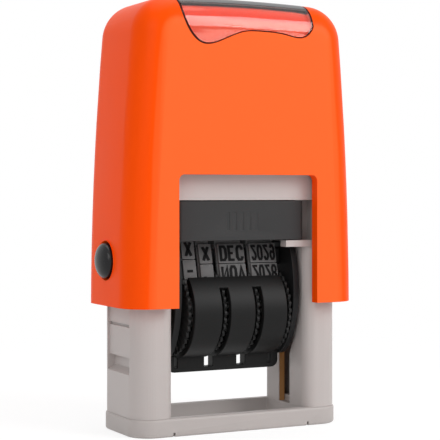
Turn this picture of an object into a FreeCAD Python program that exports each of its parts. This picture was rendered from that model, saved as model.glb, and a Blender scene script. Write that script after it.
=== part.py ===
import FreeCAD, Part
import math
import os

# Self-inking date stamp machine, in millimetres.
# Origin: centre of the rest face. X runs across the machine, the front looks along -Y, Z is up.
# At rest the cover is up and the date faces the ink pad. Pressing the cover turns the date over.

VEC = FreeCAD.Vector
ALONG_X = VEC(1, 0, 0)
ALONG_Y = VEC(0, 1, 0)
ALONG_Z = VEC(0, 0, 1)
SIDES = {"left": -1, "right": 1}

# Overall and travel
OVERALL_HEIGHT = 86.0
COVER_TRAVEL = 20.0
OVERRUN = 1.0               # how far a cutting shape runs past the faces it opens
SEAT_GAP = 0.3              # gap left between pieces that rest near each other
RUNNING_GAP = 0.05          # radial play of a turning or sliding fit

# Row of four date bands, each turned by a wheel with a saw-edged thumb rim beside the band
TENS_WIDTH = 3.1
UNITS_WIDTH = 3.1
MONTH_WIDTH = 6.2
YEAR_WIDTH = 6.3
DAY_BAND_GAP = 0.7          # between the two day bands, where no rim stands
RIM_THICKNESS = 0.8
RIM_GAP = 0.12
UNITS_RIM_PLAY = 0.28       # from the units rim to the month band
MONTH_RIM_PLAY = 0.08       # from the month rim to the year band
TENS_BAND_SHIFT = 1.0       # how far the tens band stands off its row, towards the pad
DRUM_RADIUS = 4.8
BELT_GAP = 0.1
BELT_THICKNESS = 0.7
BLOCK_HEIGHT = 0.8
BLOCK_LENGTH = 3.3
BLOCK_COUNT = 12
BLOCK_SIDE_INSET = 0.1
BLOCK_ROOT = 0.3
RIM_RADIUS = 8.8
RIM_TOOTH = 0.45
RIM_TOOTH_COUNT = 36

# Date carriage: it turns over about its axle
AXLE_HEIGHT = 28.9
AXLE_RADIUS = 2.2
PRINT_RADIUS = 8.8
CHEEK_PLAY = 0.88           # from the outer rims to the cheeks
CHEEK_THICKNESS = 1.3
CHEEK_HALF_DEPTH = 7.8
CHEEK_HALF_HEIGHT = 13.8
CHEEK_DROP = 1.1            # middle of the cheeks below the axle
CHEEK_TOP_GAP = 0.5
WHEEL_DROP = 5.4            # wheel shaft below the axle
SHAFT_RADIUS = 1.1
SHAFT_HEAD_RADIUS = 1.35
SHAFT_HEAD_LENGTH = 0.4
NOSE_HALF_DEPTH = 1.5
NOSE_ROUND = 0.5
HEAD_GAP = 0.1
HEAD_RIM_GAP = 0.3
NIB_OFFSET = 3.2
NIB_RADIUS = 0.8

# Curved guard round the wheels and the grip lip below it
SHROUD_RIM_OVERLAP = 0.6    # how far the rims reach into the guard
SHROUD_WALL = 1.2
SHROUD_EDGE_ANGLE = 50.0
SLOT_TOP_ANGLE = 33.0
SLOT_ROOM = 0.55            # from a rim to each side of its slot
SLOT_SHIFT = -0.1           # all slots stand a little to the left of their rims
OUTER_NOTCH_WIDTH = 0.65    # notch of the lip under the two outer rims
RIM_CLEAR_GAP = 0.2
LIP_HALF_DEPTH = 1.2
LIP_REACH = 12.2            # from the wheel shaft to the lip's lower face
LIP_WEB = 0.9               # closed bottom of the lip under the slots
LIP_END_ROUND = 1.5

# Frame: two hollow legs and the pad housing across their top, on a foot ring
CARRIAGE_PLAY = 0.9         # from the cheeks to the legs
LEG_WALL = 1.4
LEG_OUTER_WALL = 3.7
LEG_FRONT_WALL = 1.6
LEG_INNER_ROUND = 2.5
FRAME_HALF_DEPTH = 9.3
FRAME_CORNER = 4.5
HOUSING_RISE = 10.2         # from the pad's top to the top of the housing
HOUSING_TOP_WALL = 1.2
BAR_THICKNESS = 1.8
FOOT_HEIGHT = 3.6
FOOT_PROUD = 0.25
FOOT_ROUND = 0.5
FOOT_BEVEL = 0.3
FOOT_NOTCH_WIDTH = 0.4
FOOT_NOTCH_HEIGHT = 0.8
FOOT_LOCATING_LUG = 1.2

# Guide channel for the yoke arms inside each leg
ARM_THICKNESS = 2.6
ARM_HALF_DEPTH = 4.0
ARM_GAP = 0.2

# Slot for the carriage's axle and curved track for its nib in each leg
AXLE_SLOT_GAP = 0.1
AXLE_SLOT_END_GAP = 0.3
NIB_TRACK_GAP = 0.3
NIB_TRACK_DEPTH = 1.2
NIB_END_GAP = 0.2
TRACK_POINTS = 13

# Track on the outside of each leg for the lock button
TRACK_HALF_WIDTH = 5.5
TRACK_DEPTH = 0.5
TRACK_TOP_RISE = 5.9
BUTTON_STROKE = 1.2
NOTCH_HALF_HEIGHT = 1.1
NOTCH_SLOPE = 1.0           # height of the sloped lower face of the lower notch
CHANGE_DROP = 12.7          # cover drop at which the pad cartridge can be changed
CHANGE_GROOVE_HALF_HEIGHT = 0.3
CHANGE_GROOVE_DEPTH = 1.0

# Ink pad cartridge and its bay in the housing
PRINT_GAP = 0.1             # from the date to the bay's floor
PAD_HEIGHT = 8.0
PAD_SIDE_STEP = 0.6
PAD_REAR_WALL = 1.5
PAD_CORNER = 1.0
PAD_GAP = 0.2
TRAY_WALL = 1.9
TRAY_ROOF = 3.2
FELT_SIDE_GAP = 0.1
RAIL_WIDTH = 1.0
RAIL_HEIGHT = 1.2
RAIL_RISE = 4.8
RECESS_WIDTH = 3.0          # recess of the bay on each side of the cartridge
RECESS_WALL = 0.8
LEDGE_THICKNESS = 1.3
LEDGE_DEPTH = 2.3
LEDGE_RIGHT_WIDTH = 4.8
LEDGE_LEFT_WIDTH = 0.9
PUSH_HOLE_RADIUS = 3.0
GRIP_RIB_COUNT = 5
GRIP_RIB_PITCH = 1.6
GRIP_RIB_WIDTH = 0.7
GRIP_RIB_DEPTH = 0.4
GRIP_RIB_HALF_HEIGHT = 1.8

# Cover
COVER_BOTTOM = 25.2
COVER_MID_HEIGHT = 50.0
COVER_PLAY = 1.2            # from the legs to the cover's lower edge
COVER_DEPTH_PLAY = 1.1
COVER_NARROWING = 3.1       # how much less the cover's half width is at its top
COVER_SIDE_BULGE = 0.68
COVER_CROWN = 0.6
COVER_SHOULDER_ROUND = 7.5
COVER_EDGE_ROUND = 6.0
COVER_SIDE_WALL = 1.5
COVER_FRONT_WALL = 2.1
COVER_ROOF = 4.5
WINDOW_SIDE_STEP = 0.6
WINDOW_TOP_RISE = 5.2
WINDOW_CORNER = 1.2

# Index window on top of the cover
LENS_THICKNESS = 1.3
LENS_HALF_LENGTH = 14.5
LENS_EDGE_GAP = 0.15
TOP_PLATE_THICKNESS = 0.9
TOP_PLATE_INSET = 1.2
TOP_PLATE_HALF_DEPTH = 8.0
# Lower edge of the skirt: share of the half length, share of the skirt depth
SKIRT_DEPTH = 9.6
SKIRT_EDGE_SHARES = [(-1.0, 0.30), (-0.93, 0.66), (-0.70, 0.98), (-0.42, 0.90), (-0.07, 0.70),
                     (0.21, 0.68), (0.55, 0.72), (0.80, 0.77), (1.0, 0.52)]

# Lock buttons in the cover sides
LOCK_RISE = 8.9
BUTTON_RADIUS = 3.5
BUTTON_PROUD = 1.1
BUTTON_DOME = 0.8
BUSH_WALL = 0.5
BUSH_PROUD = 0.4
FLANGE_HALF_WIDTH = 4.6
FLANGE_THICKNESS = 0.5
FLANGE_HALF_HEIGHT = 1.0
NECK_HALF_WIDTH = 2.8
TOOTH_HALF_WIDTH = 4.0
TOOTH_HALF_HEIGHT = 0.9
TOOTH_TIP_GAP = 0.15

# Yoke and return spring
YOKE_BRIDGE = 3.0
YOKE_BRIDGE_HALF_DEPTH = 6.6
YOKE_BOSS_GAP = 0.35
YOKE_BOSS_LENGTH = 3.0
AXLE_END_INSET = 0.2
SPRING_RADIUS = 5.5
SPRING_WIRE = 0.9
SPRING_TURNS = 8
SPRING_SEAT_GAP = 0.05
SPRING_POST_HEIGHT = 3.0
WELL_SIDE_GAP = 0.55
WELL_FLOOR = 1.6

# Name, width, room after the band, side of the band on which the thumb rim stands
RIM_ROOM = RIM_GAP + RIM_THICKNESS
BAND_PLAN = [("tens", TENS_WIDTH, DAY_BAND_GAP, -1),
             ("units", UNITS_WIDTH, RIM_ROOM + UNITS_RIM_PLAY, 1),
             ("month", MONTH_WIDTH, RIM_ROOM + MONTH_RIM_PLAY, 1),
             ("year", YEAR_WIDTH, 0, 1)]
ROW_WIDTH = sum(width + room for name, width, room, side in BAND_PLAN)

# Places across the machine, from the bands outwards
CHEEK_INNER_X = ROW_WIDTH / 2 + RIM_ROOM + CHEEK_PLAY
CHEEK_OUTER_X = CHEEK_INNER_X + CHEEK_THICKNESS
LEG_INNER_X = CHEEK_OUTER_X + CARRIAGE_PLAY
CHANNEL_INNER_X = LEG_INNER_X + LEG_WALL
ARM_INNER_X = CHANNEL_INNER_X + ARM_GAP
ARM_OUTER_X = ARM_INNER_X + ARM_THICKNESS
CHANNEL_OUTER_X = ARM_OUTER_X + ARM_GAP
FRAME_HALF_WIDTH = CHANNEL_OUTER_X + LEG_OUTER_WALL
HOUSING_TOP_HALF_WIDTH = CHANNEL_OUTER_X + HOUSING_TOP_WALL
AXLE_END_X = CHEEK_INNER_X + AXLE_END_INSET
PAD_HALF_WIDTH = LEG_INNER_X - PAD_SIDE_STEP
LEDGE_RIGHT_X = LEG_INNER_X - LEDGE_RIGHT_WIDTH
LEDGE_LEFT_X = LEG_INNER_X - LEDGE_LEFT_WIDTH
WINDOW_HALF_WIDTH = LEG_INNER_X + WINDOW_SIDE_STEP
COVER_HALF_LOW = FRAME_HALF_WIDTH + COVER_PLAY + COVER_SIDE_WALL
COVER_HALF_TOP = COVER_HALF_LOW - COVER_NARROWING
COVER_CROWN_END = OVERALL_HEIGHT - COVER_CROWN
COVER_MID_SHARE = (COVER_MID_HEIGHT - COVER_BOTTOM) / (COVER_CROWN_END - COVER_BOTTOM)
COVER_HALF_MID = COVER_HALF_LOW - COVER_NARROWING * COVER_MID_SHARE + COVER_SIDE_BULGE

# Heights, from the axle up and down
PAD_BOTTOM = AXLE_HEIGHT + PRINT_RADIUS + PRINT_GAP
PAD_TOP = PAD_BOTTOM + PAD_HEIGHT
RAIL_BOTTOM = PAD_BOTTOM + RAIL_RISE
HOUSING_BOTTOM = PAD_BOTTOM - LEDGE_THICKNESS
HOUSING_TOP = PAD_TOP + HOUSING_RISE
WINDOW_TOP = PAD_TOP + WINDOW_TOP_RISE
WELL_BOTTOM = PAD_TOP + PAD_GAP + WELL_FLOOR
CHEEK_CENTRE_HEIGHT = AXLE_HEIGHT - CHEEK_DROP
CHEEK_TOP = PAD_BOTTOM - CHEEK_TOP_GAP
WHEEL_HEIGHT = AXLE_HEIGHT - WHEEL_DROP
HEAD_BOTTOM = WHEEL_HEIGHT + RIM_RADIUS + HEAD_RIM_GAP
NOSE_HEIGHT = AXLE_HEIGHT + PRINT_RADIUS - BLOCK_HEIGHT - BELT_THICKNESS - NOSE_ROUND
LIP_BOTTOM = WHEEL_HEIGHT - LIP_REACH
LOCK_HEIGHT = COVER_BOTTOM + LOCK_RISE
ROOF_UNDERSIDE = OVERALL_HEIGHT - COVER_ROOF
BRIDGE_UNDERSIDE = ROOF_UNDERSIDE - YOKE_BRIDGE

# Depths and radii
LEG_HOLLOW_HALF_DEPTH = FRAME_HALF_DEPTH - LEG_FRONT_WALL
PAD_REAR = FRAME_HALF_DEPTH - PAD_REAR_WALL
RECESS_REAR = -ARM_HALF_DEPTH - ARM_GAP - RECESS_WALL
COVER_HALF_DEPTH = FRAME_HALF_DEPTH + COVER_DEPTH_PLAY + COVER_FRONT_WALL
NOTCH_DEPTH = TRACK_DEPTH + BUTTON_STROKE
SHROUD_INNER_RADIUS = RIM_RADIUS - SHROUD_RIM_OVERLAP
SHROUD_OUTER_RADIUS = SHROUD_INNER_RADIUS + SHROUD_WALL
RIM_CLEAR_RADIUS = RIM_RADIUS + RIM_CLEAR_GAP
SPRING_INNER_RADIUS = SPRING_RADIUS - SPRING_WIRE / 2
YOKE_BOSS_RADIUS = SPRING_INNER_RADIUS - YOKE_BOSS_GAP
WELL_RADIUS = SPRING_RADIUS + SPRING_WIRE / 2 + WELL_SIDE_GAP


def save(name, shape):
    """Writes one node and prints its volume as a check."""
    solid = shape.removeSplitter()
    solid.exportStep("parts/%s.step" % name)
    print("%-20s solids %d  volume %.1f  valid %s"
          % (name, len(solid.Solids), solid.Volume, solid.isValid()))


def block(x_low, x_high, y_low, y_high, z_low, z_high):
    """Box between two corners."""
    corner = VEC(min(x_low, x_high), y_low, z_low)
    return Part.makeBox(abs(x_high - x_low), y_high - y_low, z_high - z_low, corner)


def rod_x(radius, x_low, x_high, height, depth=0):
    """Round rod along X."""
    start = VEC(min(x_low, x_high), depth, height)
    return Part.makeCylinder(radius, abs(x_high - x_low), start, ALONG_X)


def arc_towards(start, control, end):
    """Round arc that leaves start towards control and arrives at end from it."""
    weight = start.distanceToPoint(end) / (2 * start.distanceToPoint(control))
    middle = (start + control * (2 * weight) + end) * (1 / (2 * (1 + weight)))
    return Part.Arc(start, middle, end).toShape()


def rounded_wire(corners, radii):
    """Closed outline through the corners, each one rounded by its own radius."""
    joins = []
    for index, corner in enumerate(corners):
        before = (corners[index - 1] - corner).normalize()
        after = (corners[(index + 1) % len(corners)] - corner).normalize()
        reach = radii[index] / math.tan(before.getAngle(after) / 2)
        joins.append((corner + before * reach, corner, corner + after * reach))
    edges = []
    for index, (entry, corner, leave) in enumerate(joins):
        if radii[index] > 0:
            edges.append(arc_towards(entry, corner, leave))
        following = joins[(index + 1) % len(joins)][0]
        edges.append(Part.LineSegment(leave, following).toShape())
    return Part.Wire(edges)


def prism(wire, direction):
    """Solid swept by a flat outline along a straight line."""
    return Part.Face(wire).extrude(direction)


def plan_corners(x_low, x_high, half_depth, height):
    """Corners of a rectangle seen from above."""
    return [VEC(x_low, -half_depth, height), VEC(x_high, -half_depth, height),
            VEC(x_high, half_depth, height), VEC(x_low, half_depth, height)]


def rounded_column(half_width, half_depth, radius, bottom, top):
    """Upright column with a rounded rectangle as its plan."""
    corners = plan_corners(-half_width, half_width, half_depth, bottom)
    return prism(rounded_wire(corners, [radius] * len(corners)), VEC(0, 0, top - bottom))


def both_sides(build):
    """The same form for the left and the right side, as one group."""
    first, second = [build(sign) for sign in SIDES.values()]
    return first.fuse(second)


def cover_half_at(height):
    """Half width of the cover at a height, on the arc of its side."""
    side = Part.Arc(VEC(COVER_HALF_LOW, 0, COVER_BOTTOM), VEC(COVER_HALF_MID, 0, COVER_MID_HEIGHT),
                    VEC(COVER_HALF_TOP, 0, COVER_CROWN_END)).toShape().Curve
    across = math.sqrt(side.Radius ** 2 - (height - side.Center.z) ** 2)
    return side.Center.x + math.copysign(across, COVER_SIDE_BULGE)


def cover_block(side_inset, front_inset, top_inset, bottom):
    """Barrel-sided, round-shouldered block of the cover, drawn in by the given walls."""
    top = OVERALL_HEIGHT - top_inset
    crown_end = top - COVER_CROWN
    half_depth = COVER_HALF_DEPTH - front_inset
    low = VEC(COVER_HALF_LOW - side_inset, -half_depth, bottom)
    middle = VEC(COVER_HALF_MID - side_inset, -half_depth, COVER_MID_HEIGHT)
    high = VEC(COVER_HALF_TOP - side_inset, -half_depth, crown_end)
    flip = lambda point: VEC(-point.x, point.y, point.z)
    right = Part.Arc(low, middle, high).toShape()
    crown = Part.Arc(high, VEC(0, -half_depth, top), flip(high)).toShape()
    left = Part.Arc(flip(high), flip(middle), flip(low)).toShape()
    base = Part.LineSegment(flip(low), low).toShape()
    body = prism(Part.Wire([right, crown, left, base]), VEC(0, 2 * half_depth, 0))
    shoulders = [edge for edge in body.Edges
                 if edge.BoundBox.YLength > half_depth and edge.BoundBox.ZMin > COVER_MID_HEIGHT]
    body = body.makeFillet(COVER_SHOULDER_ROUND - side_inset, shoulders)
    rims = [edge for edge in body.Edges
            if edge.BoundBox.YLength < half_depth and edge.BoundBox.ZMax > bottom + OVERRUN]
    return body.makeFillet(COVER_EDGE_ROUND - side_inset, rims)


def skirt_prism(grow):
    """Through prism of the index window seen from the front, grown by a gap."""
    half = LENS_HALF_LENGTH + grow
    y_start = -COVER_HALF_DEPTH - OVERRUN
    drop = SKIRT_DEPTH
    edge_points = [VEC(half * across, y_start, OVERALL_HEIGHT - drop * down - grow)
                   for across, down in SKIRT_EDGE_SHARES]
    curve = Part.BSplineCurve()
    curve.interpolate(edge_points)
    top = OVERALL_HEIGHT + OVERRUN
    high_right, high_left = VEC(half, y_start, top), VEC(-half, y_start, top)
    edges = [curve.toShape(), Part.LineSegment(edge_points[-1], high_right).toShape(),
             Part.LineSegment(high_right, high_left).toShape(),
             Part.LineSegment(high_left, edge_points[0]).toShape()]
    return prism(Part.Wire(edges), VEC(0, -2 * y_start, 0))


def foot_notch(sign):
    """Small notch in the ring's front rest edge where the leg ends and the bar begins."""
    front = FRAME_HALF_DEPTH + FOOT_PROUD
    return block(sign * LEG_INNER_X, sign * (LEG_INNER_X + FOOT_NOTCH_WIDTH), -front - OVERRUN,
                 -front + BAR_THICKNESS / 2, -OVERRUN, FOOT_NOTCH_HEIGHT)


def foot_lug(sign):
    """Lug of the foot ring that locates it in a hollow leg."""
    return block(sign * (CHANNEL_INNER_X + SEAT_GAP), sign * (CHANNEL_OUTER_X - SEAT_GAP),
                 -ARM_HALF_DEPTH, ARM_HALF_DEPTH, FOOT_HEIGHT / 2, FOOT_HEIGHT + FOOT_LOCATING_LUG)


def make_foot_ring():
    """Ring that the legs stand in: rounded top edge, bevelled rest edge, two bars and two lugs."""
    ring = rounded_column(FRAME_HALF_WIDTH + FOOT_PROUD, FRAME_HALF_DEPTH + FOOT_PROUD,
                          FRAME_CORNER + FOOT_PROUD, 0, FOOT_HEIGHT)
    upper = [edge for edge in ring.Edges if edge.BoundBox.ZMin > FOOT_HEIGHT / 2]
    ring = ring.makeFillet(FOOT_ROUND, upper)
    lower = [edge for edge in ring.Edges if edge.BoundBox.ZMax < FOOT_BEVEL]
    ring = ring.makeChamfer(FOOT_BEVEL, lower)
    half_opening = FRAME_HALF_DEPTH - BAR_THICKNESS
    opening = block(-LEG_INNER_X, LEG_INNER_X, -half_opening, half_opening,
                    -OVERRUN, FOOT_HEIGHT + OVERRUN)
    return ring.cut(opening.fuse(both_sides(foot_notch))).fuse(both_sides(foot_lug))


def make_leg(sign):
    """One leg with rounder outer corners, from the foot to the housing."""
    corners = plan_corners(sign * LEG_INNER_X, sign * FRAME_HALF_WIDTH, FRAME_HALF_DEPTH, FOOT_HEIGHT)
    radii = [LEG_INNER_ROUND, FRAME_CORNER, FRAME_CORNER, LEG_INNER_ROUND]
    return prism(rounded_wire(corners, radii), VEC(0, 0, HOUSING_BOTTOM + OVERRUN - FOOT_HEIGHT))


def make_housing():
    """Housing over the legs, narrower towards its top so that it enters the pressed cover."""
    column = rounded_column(FRAME_HALF_WIDTH, FRAME_HALF_DEPTH, FRAME_CORNER,
                            HOUSING_BOTTOM, HOUSING_TOP)
    y_start = -FRAME_HALF_DEPTH - OVERRUN
    corners = [VEC(-FRAME_HALF_WIDTH, y_start, HOUSING_BOTTOM),
               VEC(FRAME_HALF_WIDTH, y_start, HOUSING_BOTTOM),
               VEC(HOUSING_TOP_HALF_WIDTH, y_start, HOUSING_TOP),
               VEC(-HOUSING_TOP_HALF_WIDTH, y_start, HOUSING_TOP)]
    taper = prism(Part.makePolygon(corners + corners[:1]), VEC(0, -2 * y_start, 0))
    return column.common(taper)


def nib_track(sign):
    """Curved pocket beside the axle slot: the path of the carriage's nib as the cover goes down."""
    reach = NIB_RADIUS + NIB_TRACK_GAP
    drop = COVER_TRAVEL / math.pi
    face_x = sign * (LEG_INNER_X - OVERRUN)
    outline = []
    for index in range(TRACK_POINTS):
        angle = math.pi * index / (TRACK_POINTS - 1)
        centre = VEC(0, -NIB_OFFSET * math.sin(angle),
                     AXLE_HEIGHT - drop * angle - NIB_OFFSET * math.cos(angle))
        tangent = VEC(0, -NIB_OFFSET * math.cos(angle), -drop + NIB_OFFSET * math.sin(angle))
        normal = tangent.normalize().cross(ALONG_X)
        outline.append(VEC(face_x, 0, 0) + centre + normal * reach)
    curve = Part.BSplineCurve()
    curve.interpolate(outline)
    first, last = outline[0], outline[-1]
    inner_first, inner_last = VEC(face_x, 0, first.z), VEC(face_x, 0, last.z)
    edges = [curve.toShape(), Part.LineSegment(last, inner_last).toShape(),
             Part.LineSegment(inner_last, inner_first).toShape(),
             Part.LineSegment(inner_first, first).toShape()]
    return prism(Part.Wire(edges), ALONG_X * (sign * (OVERRUN + NIB_TRACK_DEPTH)))


def leg_openings(sign):
    """Everything cut out of one leg from inside: hollow, guide channel, axle slot, nib track."""
    hollow = block(sign * CHANNEL_INNER_X, sign * CHANNEL_OUTER_X, -LEG_HOLLOW_HALF_DEPTH,
                   LEG_HOLLOW_HALF_DEPTH, FOOT_HEIGHT - OVERRUN, HOUSING_BOTTOM)
    half_channel = ARM_HALF_DEPTH + ARM_GAP
    channel = block(sign * CHANNEL_INNER_X, sign * CHANNEL_OUTER_X, -half_channel, half_channel,
                    FOOT_HEIGHT - OVERRUN, HOUSING_TOP + OVERRUN)
    slot_half = AXLE_RADIUS + AXLE_SLOT_GAP
    slot_x = (sign * (LEG_INNER_X - OVERRUN), sign * (CHANNEL_INNER_X + OVERRUN))
    high = AXLE_HEIGHT + AXLE_SLOT_END_GAP
    slot = block(slot_x[0], slot_x[1], -slot_half, slot_half, FOOT_HEIGHT - OVERRUN, high)
    slot_end = rod_x(slot_half, slot_x[0], slot_x[1], high)
    return hollow.multiFuse([channel, slot, slot_end, nib_track(sign)])


def leg_recess(sign, depth, low, high):
    """Recess in the outside of one leg, as wide as the lock button's track."""
    return block(sign * (FRAME_HALF_WIDTH - depth), sign * (FRAME_HALF_WIDTH + OVERRUN),
                 -TRACK_HALF_WIDTH, TRACK_HALF_WIDTH, low, high)


def notch_slope(sign, height):
    """Sloped lower face of a notch, from its floor down to the leg's outside."""
    floor_x, outside_x = FRAME_HALF_WIDTH - NOTCH_DEPTH, FRAME_HALF_WIDTH + OVERRUN
    drop = NOTCH_SLOPE * (outside_x - floor_x) / NOTCH_DEPTH
    corners = [VEC(sign * floor_x, -TRACK_HALF_WIDTH, height),
               VEC(sign * outside_x, -TRACK_HALF_WIDTH, height - drop),
               VEC(sign * outside_x, -TRACK_HALF_WIDTH, height + NOTCH_HALF_HEIGHT),
               VEC(sign * floor_x, -TRACK_HALF_WIDTH, height + NOTCH_HALF_HEIGHT)]
    return prism(Part.makePolygon(corners + corners[:1]), VEC(0, 2 * TRACK_HALF_WIDTH, 0))


def button_track(sign):
    """Track for the lock button in the outside of one leg, with two notches and a groove."""
    locked = LOCK_HEIGHT - COVER_TRAVEL
    change = LOCK_HEIGHT - CHANGE_DROP
    track = leg_recess(sign, TRACK_DEPTH, locked - NOTCH_HALF_HEIGHT, LOCK_HEIGHT + TRACK_TOP_RISE)
    notches = [leg_recess(sign, NOTCH_DEPTH, height - NOTCH_HALF_HEIGHT, height + NOTCH_HALF_HEIGHT)
               for height in (LOCK_HEIGHT, locked)]
    groove = leg_recess(sign, CHANGE_GROOVE_DEPTH, change - CHANGE_GROOVE_HALF_HEIGHT,
                        change + CHANGE_GROOVE_HALF_HEIGHT)
    slope = notch_slope(sign, locked - NOTCH_HALF_HEIGHT)
    return track.multiFuse(notches + [groove, slope])


def pad_bay():
    """Bay for the ink cartridge: side grooves, side recesses, view of the date, push hole."""
    front = -FRAME_HALF_DEPTH - OVERRUN
    half = PAD_HALF_WIDTH + PAD_GAP
    rear = PAD_REAR + PAD_GAP
    room = block(-half, half, front, rear, PAD_BOTTOM, PAD_TOP + PAD_GAP)
    recess_half = half + RECESS_WIDTH
    recess = block(-recess_half, recess_half, front, RECESS_REAR, PAD_BOTTOM, PAD_TOP + PAD_GAP)
    rail_half = half + RAIL_WIDTH
    grooves = block(-rail_half, rail_half, front, rear, RAIL_BOTTOM - PAD_GAP,
                    RAIL_BOTTOM + RAIL_HEIGHT + PAD_GAP)
    under = block(-LEDGE_LEFT_X, LEDGE_RIGHT_X, front, -FRAME_HALF_DEPTH + LEDGE_DEPTH,
                  HOUSING_BOTTOM - OVERRUN, PAD_BOTTOM + PAD_GAP)
    deep = FRAME_HALF_DEPTH - LEDGE_DEPTH
    middle = block(-LEG_INNER_X, LEG_INNER_X, -deep, deep, HOUSING_BOTTOM - OVERRUN,
                   PAD_BOTTOM + PAD_GAP)
    hole = Part.makeCylinder(PUSH_HOLE_RADIUS, FRAME_HALF_DEPTH,
                             VEC(0, 0, (PAD_BOTTOM + PAD_TOP) / 2), ALONG_Y)
    return room.multiFuse([recess, grooves, under, middle, hole])


def make_frame():
    """The moulded frame: legs and housing, with the spring well and its post."""
    solid = make_housing().fuse(both_sides(make_leg))
    well = Part.makeCylinder(WELL_RADIUS, HOUSING_TOP + OVERRUN - WELL_BOTTOM, VEC(0, 0, WELL_BOTTOM))
    openings = both_sides(leg_openings).multiFuse([both_sides(button_track), pad_bay(), well])
    post = Part.makeCylinder(SPRING_INNER_RADIUS - SEAT_GAP, SPRING_POST_HEIGHT + WELL_FLOOR / 2,
                             VEC(0, 0, WELL_BOTTOM - WELL_FLOOR / 2))
    return solid.cut(openings).fuse(post)


def make_ink_tray():
    """Cartridge tray: open below, with side rails and a ribbed finger grip on its front."""
    front = -FRAME_HALF_DEPTH
    bottom = PAD_BOTTOM + PAD_GAP
    corners = [VEC(-PAD_HALF_WIDTH, front, bottom), VEC(PAD_HALF_WIDTH, front, bottom),
               VEC(PAD_HALF_WIDTH, PAD_REAR, bottom), VEC(-PAD_HALF_WIDTH, PAD_REAR, bottom)]
    body = prism(rounded_wire(corners, [PAD_CORNER] * len(corners)), VEC(0, 0, PAD_TOP - bottom))
    rail_half = PAD_HALF_WIDTH + RAIL_WIDTH
    rails = block(-rail_half, rail_half, RECESS_REAR + SEAT_GAP, PAD_REAR - PAD_CORNER, RAIL_BOTTOM,
                  RAIL_BOTTOM + RAIL_HEIGHT)
    room = block(-PAD_HALF_WIDTH + TRAY_WALL, PAD_HALF_WIDTH - TRAY_WALL, front + TRAY_WALL,
                 PAD_REAR - TRAY_WALL, PAD_BOTTOM - OVERRUN, PAD_TOP - TRAY_ROOF)
    middle = (PAD_BOTTOM + PAD_TOP) / 2
    cuts = []
    for index in range(GRIP_RIB_COUNT):
        centre = (index - (GRIP_RIB_COUNT - 1) / 2) * GRIP_RIB_PITCH
        cuts.append(block(centre - GRIP_RIB_WIDTH / 2, centre + GRIP_RIB_WIDTH / 2, front - OVERRUN,
                          front + GRIP_RIB_DEPTH, middle - GRIP_RIB_HALF_HEIGHT,
                          middle + GRIP_RIB_HALF_HEIGHT))
    return body.fuse(rails).cut(room.multiFuse(cuts))


def make_ink_felt():
    """Inked felt in the tray, its face just above the raised date."""
    half = PAD_HALF_WIDTH - TRAY_WALL - FELT_SIDE_GAP
    return block(-half, half, -FRAME_HALF_DEPTH + TRAY_WALL + FELT_SIDE_GAP,
                 PAD_REAR - TRAY_WALL - FELT_SIDE_GAP, PAD_BOTTOM + PAD_GAP, PAD_TOP - TRAY_ROOF)


def button_hole(radius):
    """Round way through both cover sides at the lock buttons."""
    return rod_x(radius, -COVER_HALF_LOW - OVERRUN, COVER_HALF_LOW + OVERRUN, LOCK_HEIGHT)


def make_cover_shell():
    """Cover: thin shell with an open arch front and rear, button holes and the window recess."""
    outer = cover_block(0, 0, 0, COVER_BOTTOM)
    inner = cover_block(COVER_SIDE_WALL, COVER_FRONT_WALL, COVER_ROOF, COVER_BOTTOM - OVERRUN)
    y_start = -COVER_HALF_DEPTH - OVERRUN
    low = COVER_BOTTOM - 2 * OVERRUN
    half = WINDOW_HALF_WIDTH
    corners = [VEC(-half, y_start, low), VEC(half, y_start, low),
               VEC(half, y_start, WINDOW_TOP), VEC(-half, y_start, WINDOW_TOP)]
    window = prism(rounded_wire(corners, [0, 0, WINDOW_CORNER, WINDOW_CORNER]),
                   VEC(0, -2 * y_start, 0))
    core = cover_block(LENS_THICKNESS, LENS_THICKNESS, LENS_THICKNESS, COVER_BOTTOM)
    recess = skirt_prism(LENS_EDGE_GAP).cut(core)
    holes = button_hole(BUTTON_RADIUS + RUNNING_GAP + BUSH_WALL)
    return outer.cut(inner).cut(window).cut(recess).cut(holes)


def top_plate_space():
    """Upright column that parts the dark top plate from the clear window below it."""
    half = LENS_HALF_LENGTH - TOP_PLATE_INSET
    bottom = OVERALL_HEIGHT - TOP_PLATE_THICKNESS
    return block(-half, half, -TOP_PLATE_HALF_DEPTH, TOP_PLATE_HALF_DEPTH, bottom,
                 OVERALL_HEIGHT + OVERRUN)


def window_body():
    """Clear window and top plate together, before they are parted."""
    outer = cover_block(0, 0, 0, COVER_BOTTOM)
    core = cover_block(LENS_THICKNESS, LENS_THICKNESS, LENS_THICKNESS, COVER_BOTTOM)
    return outer.common(skirt_prism(0)).cut(core)


def make_index_lens():
    """Clear window with a wavy skirt over the front and rear of the cover."""
    return window_body().cut(top_plate_space())


def make_top_plate():
    """Dark plate let into the top of the clear window."""
    return window_body().common(top_plate_space())


def make_bush(sign):
    """Round bush in the cover side that guides the lock button."""
    side = cover_half_at(LOCK_HEIGHT)
    outside, inside = side + BUSH_PROUD, side - COVER_SIDE_WALL
    outer = rod_x(BUTTON_RADIUS + RUNNING_GAP + BUSH_WALL, sign * inside, sign * outside, LOCK_HEIGHT)
    return outer.cut(rod_x(BUTTON_RADIUS + RUNNING_GAP, sign * (inside - OVERRUN),
                           sign * (outside + OVERRUN), LOCK_HEIGHT))


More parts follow.
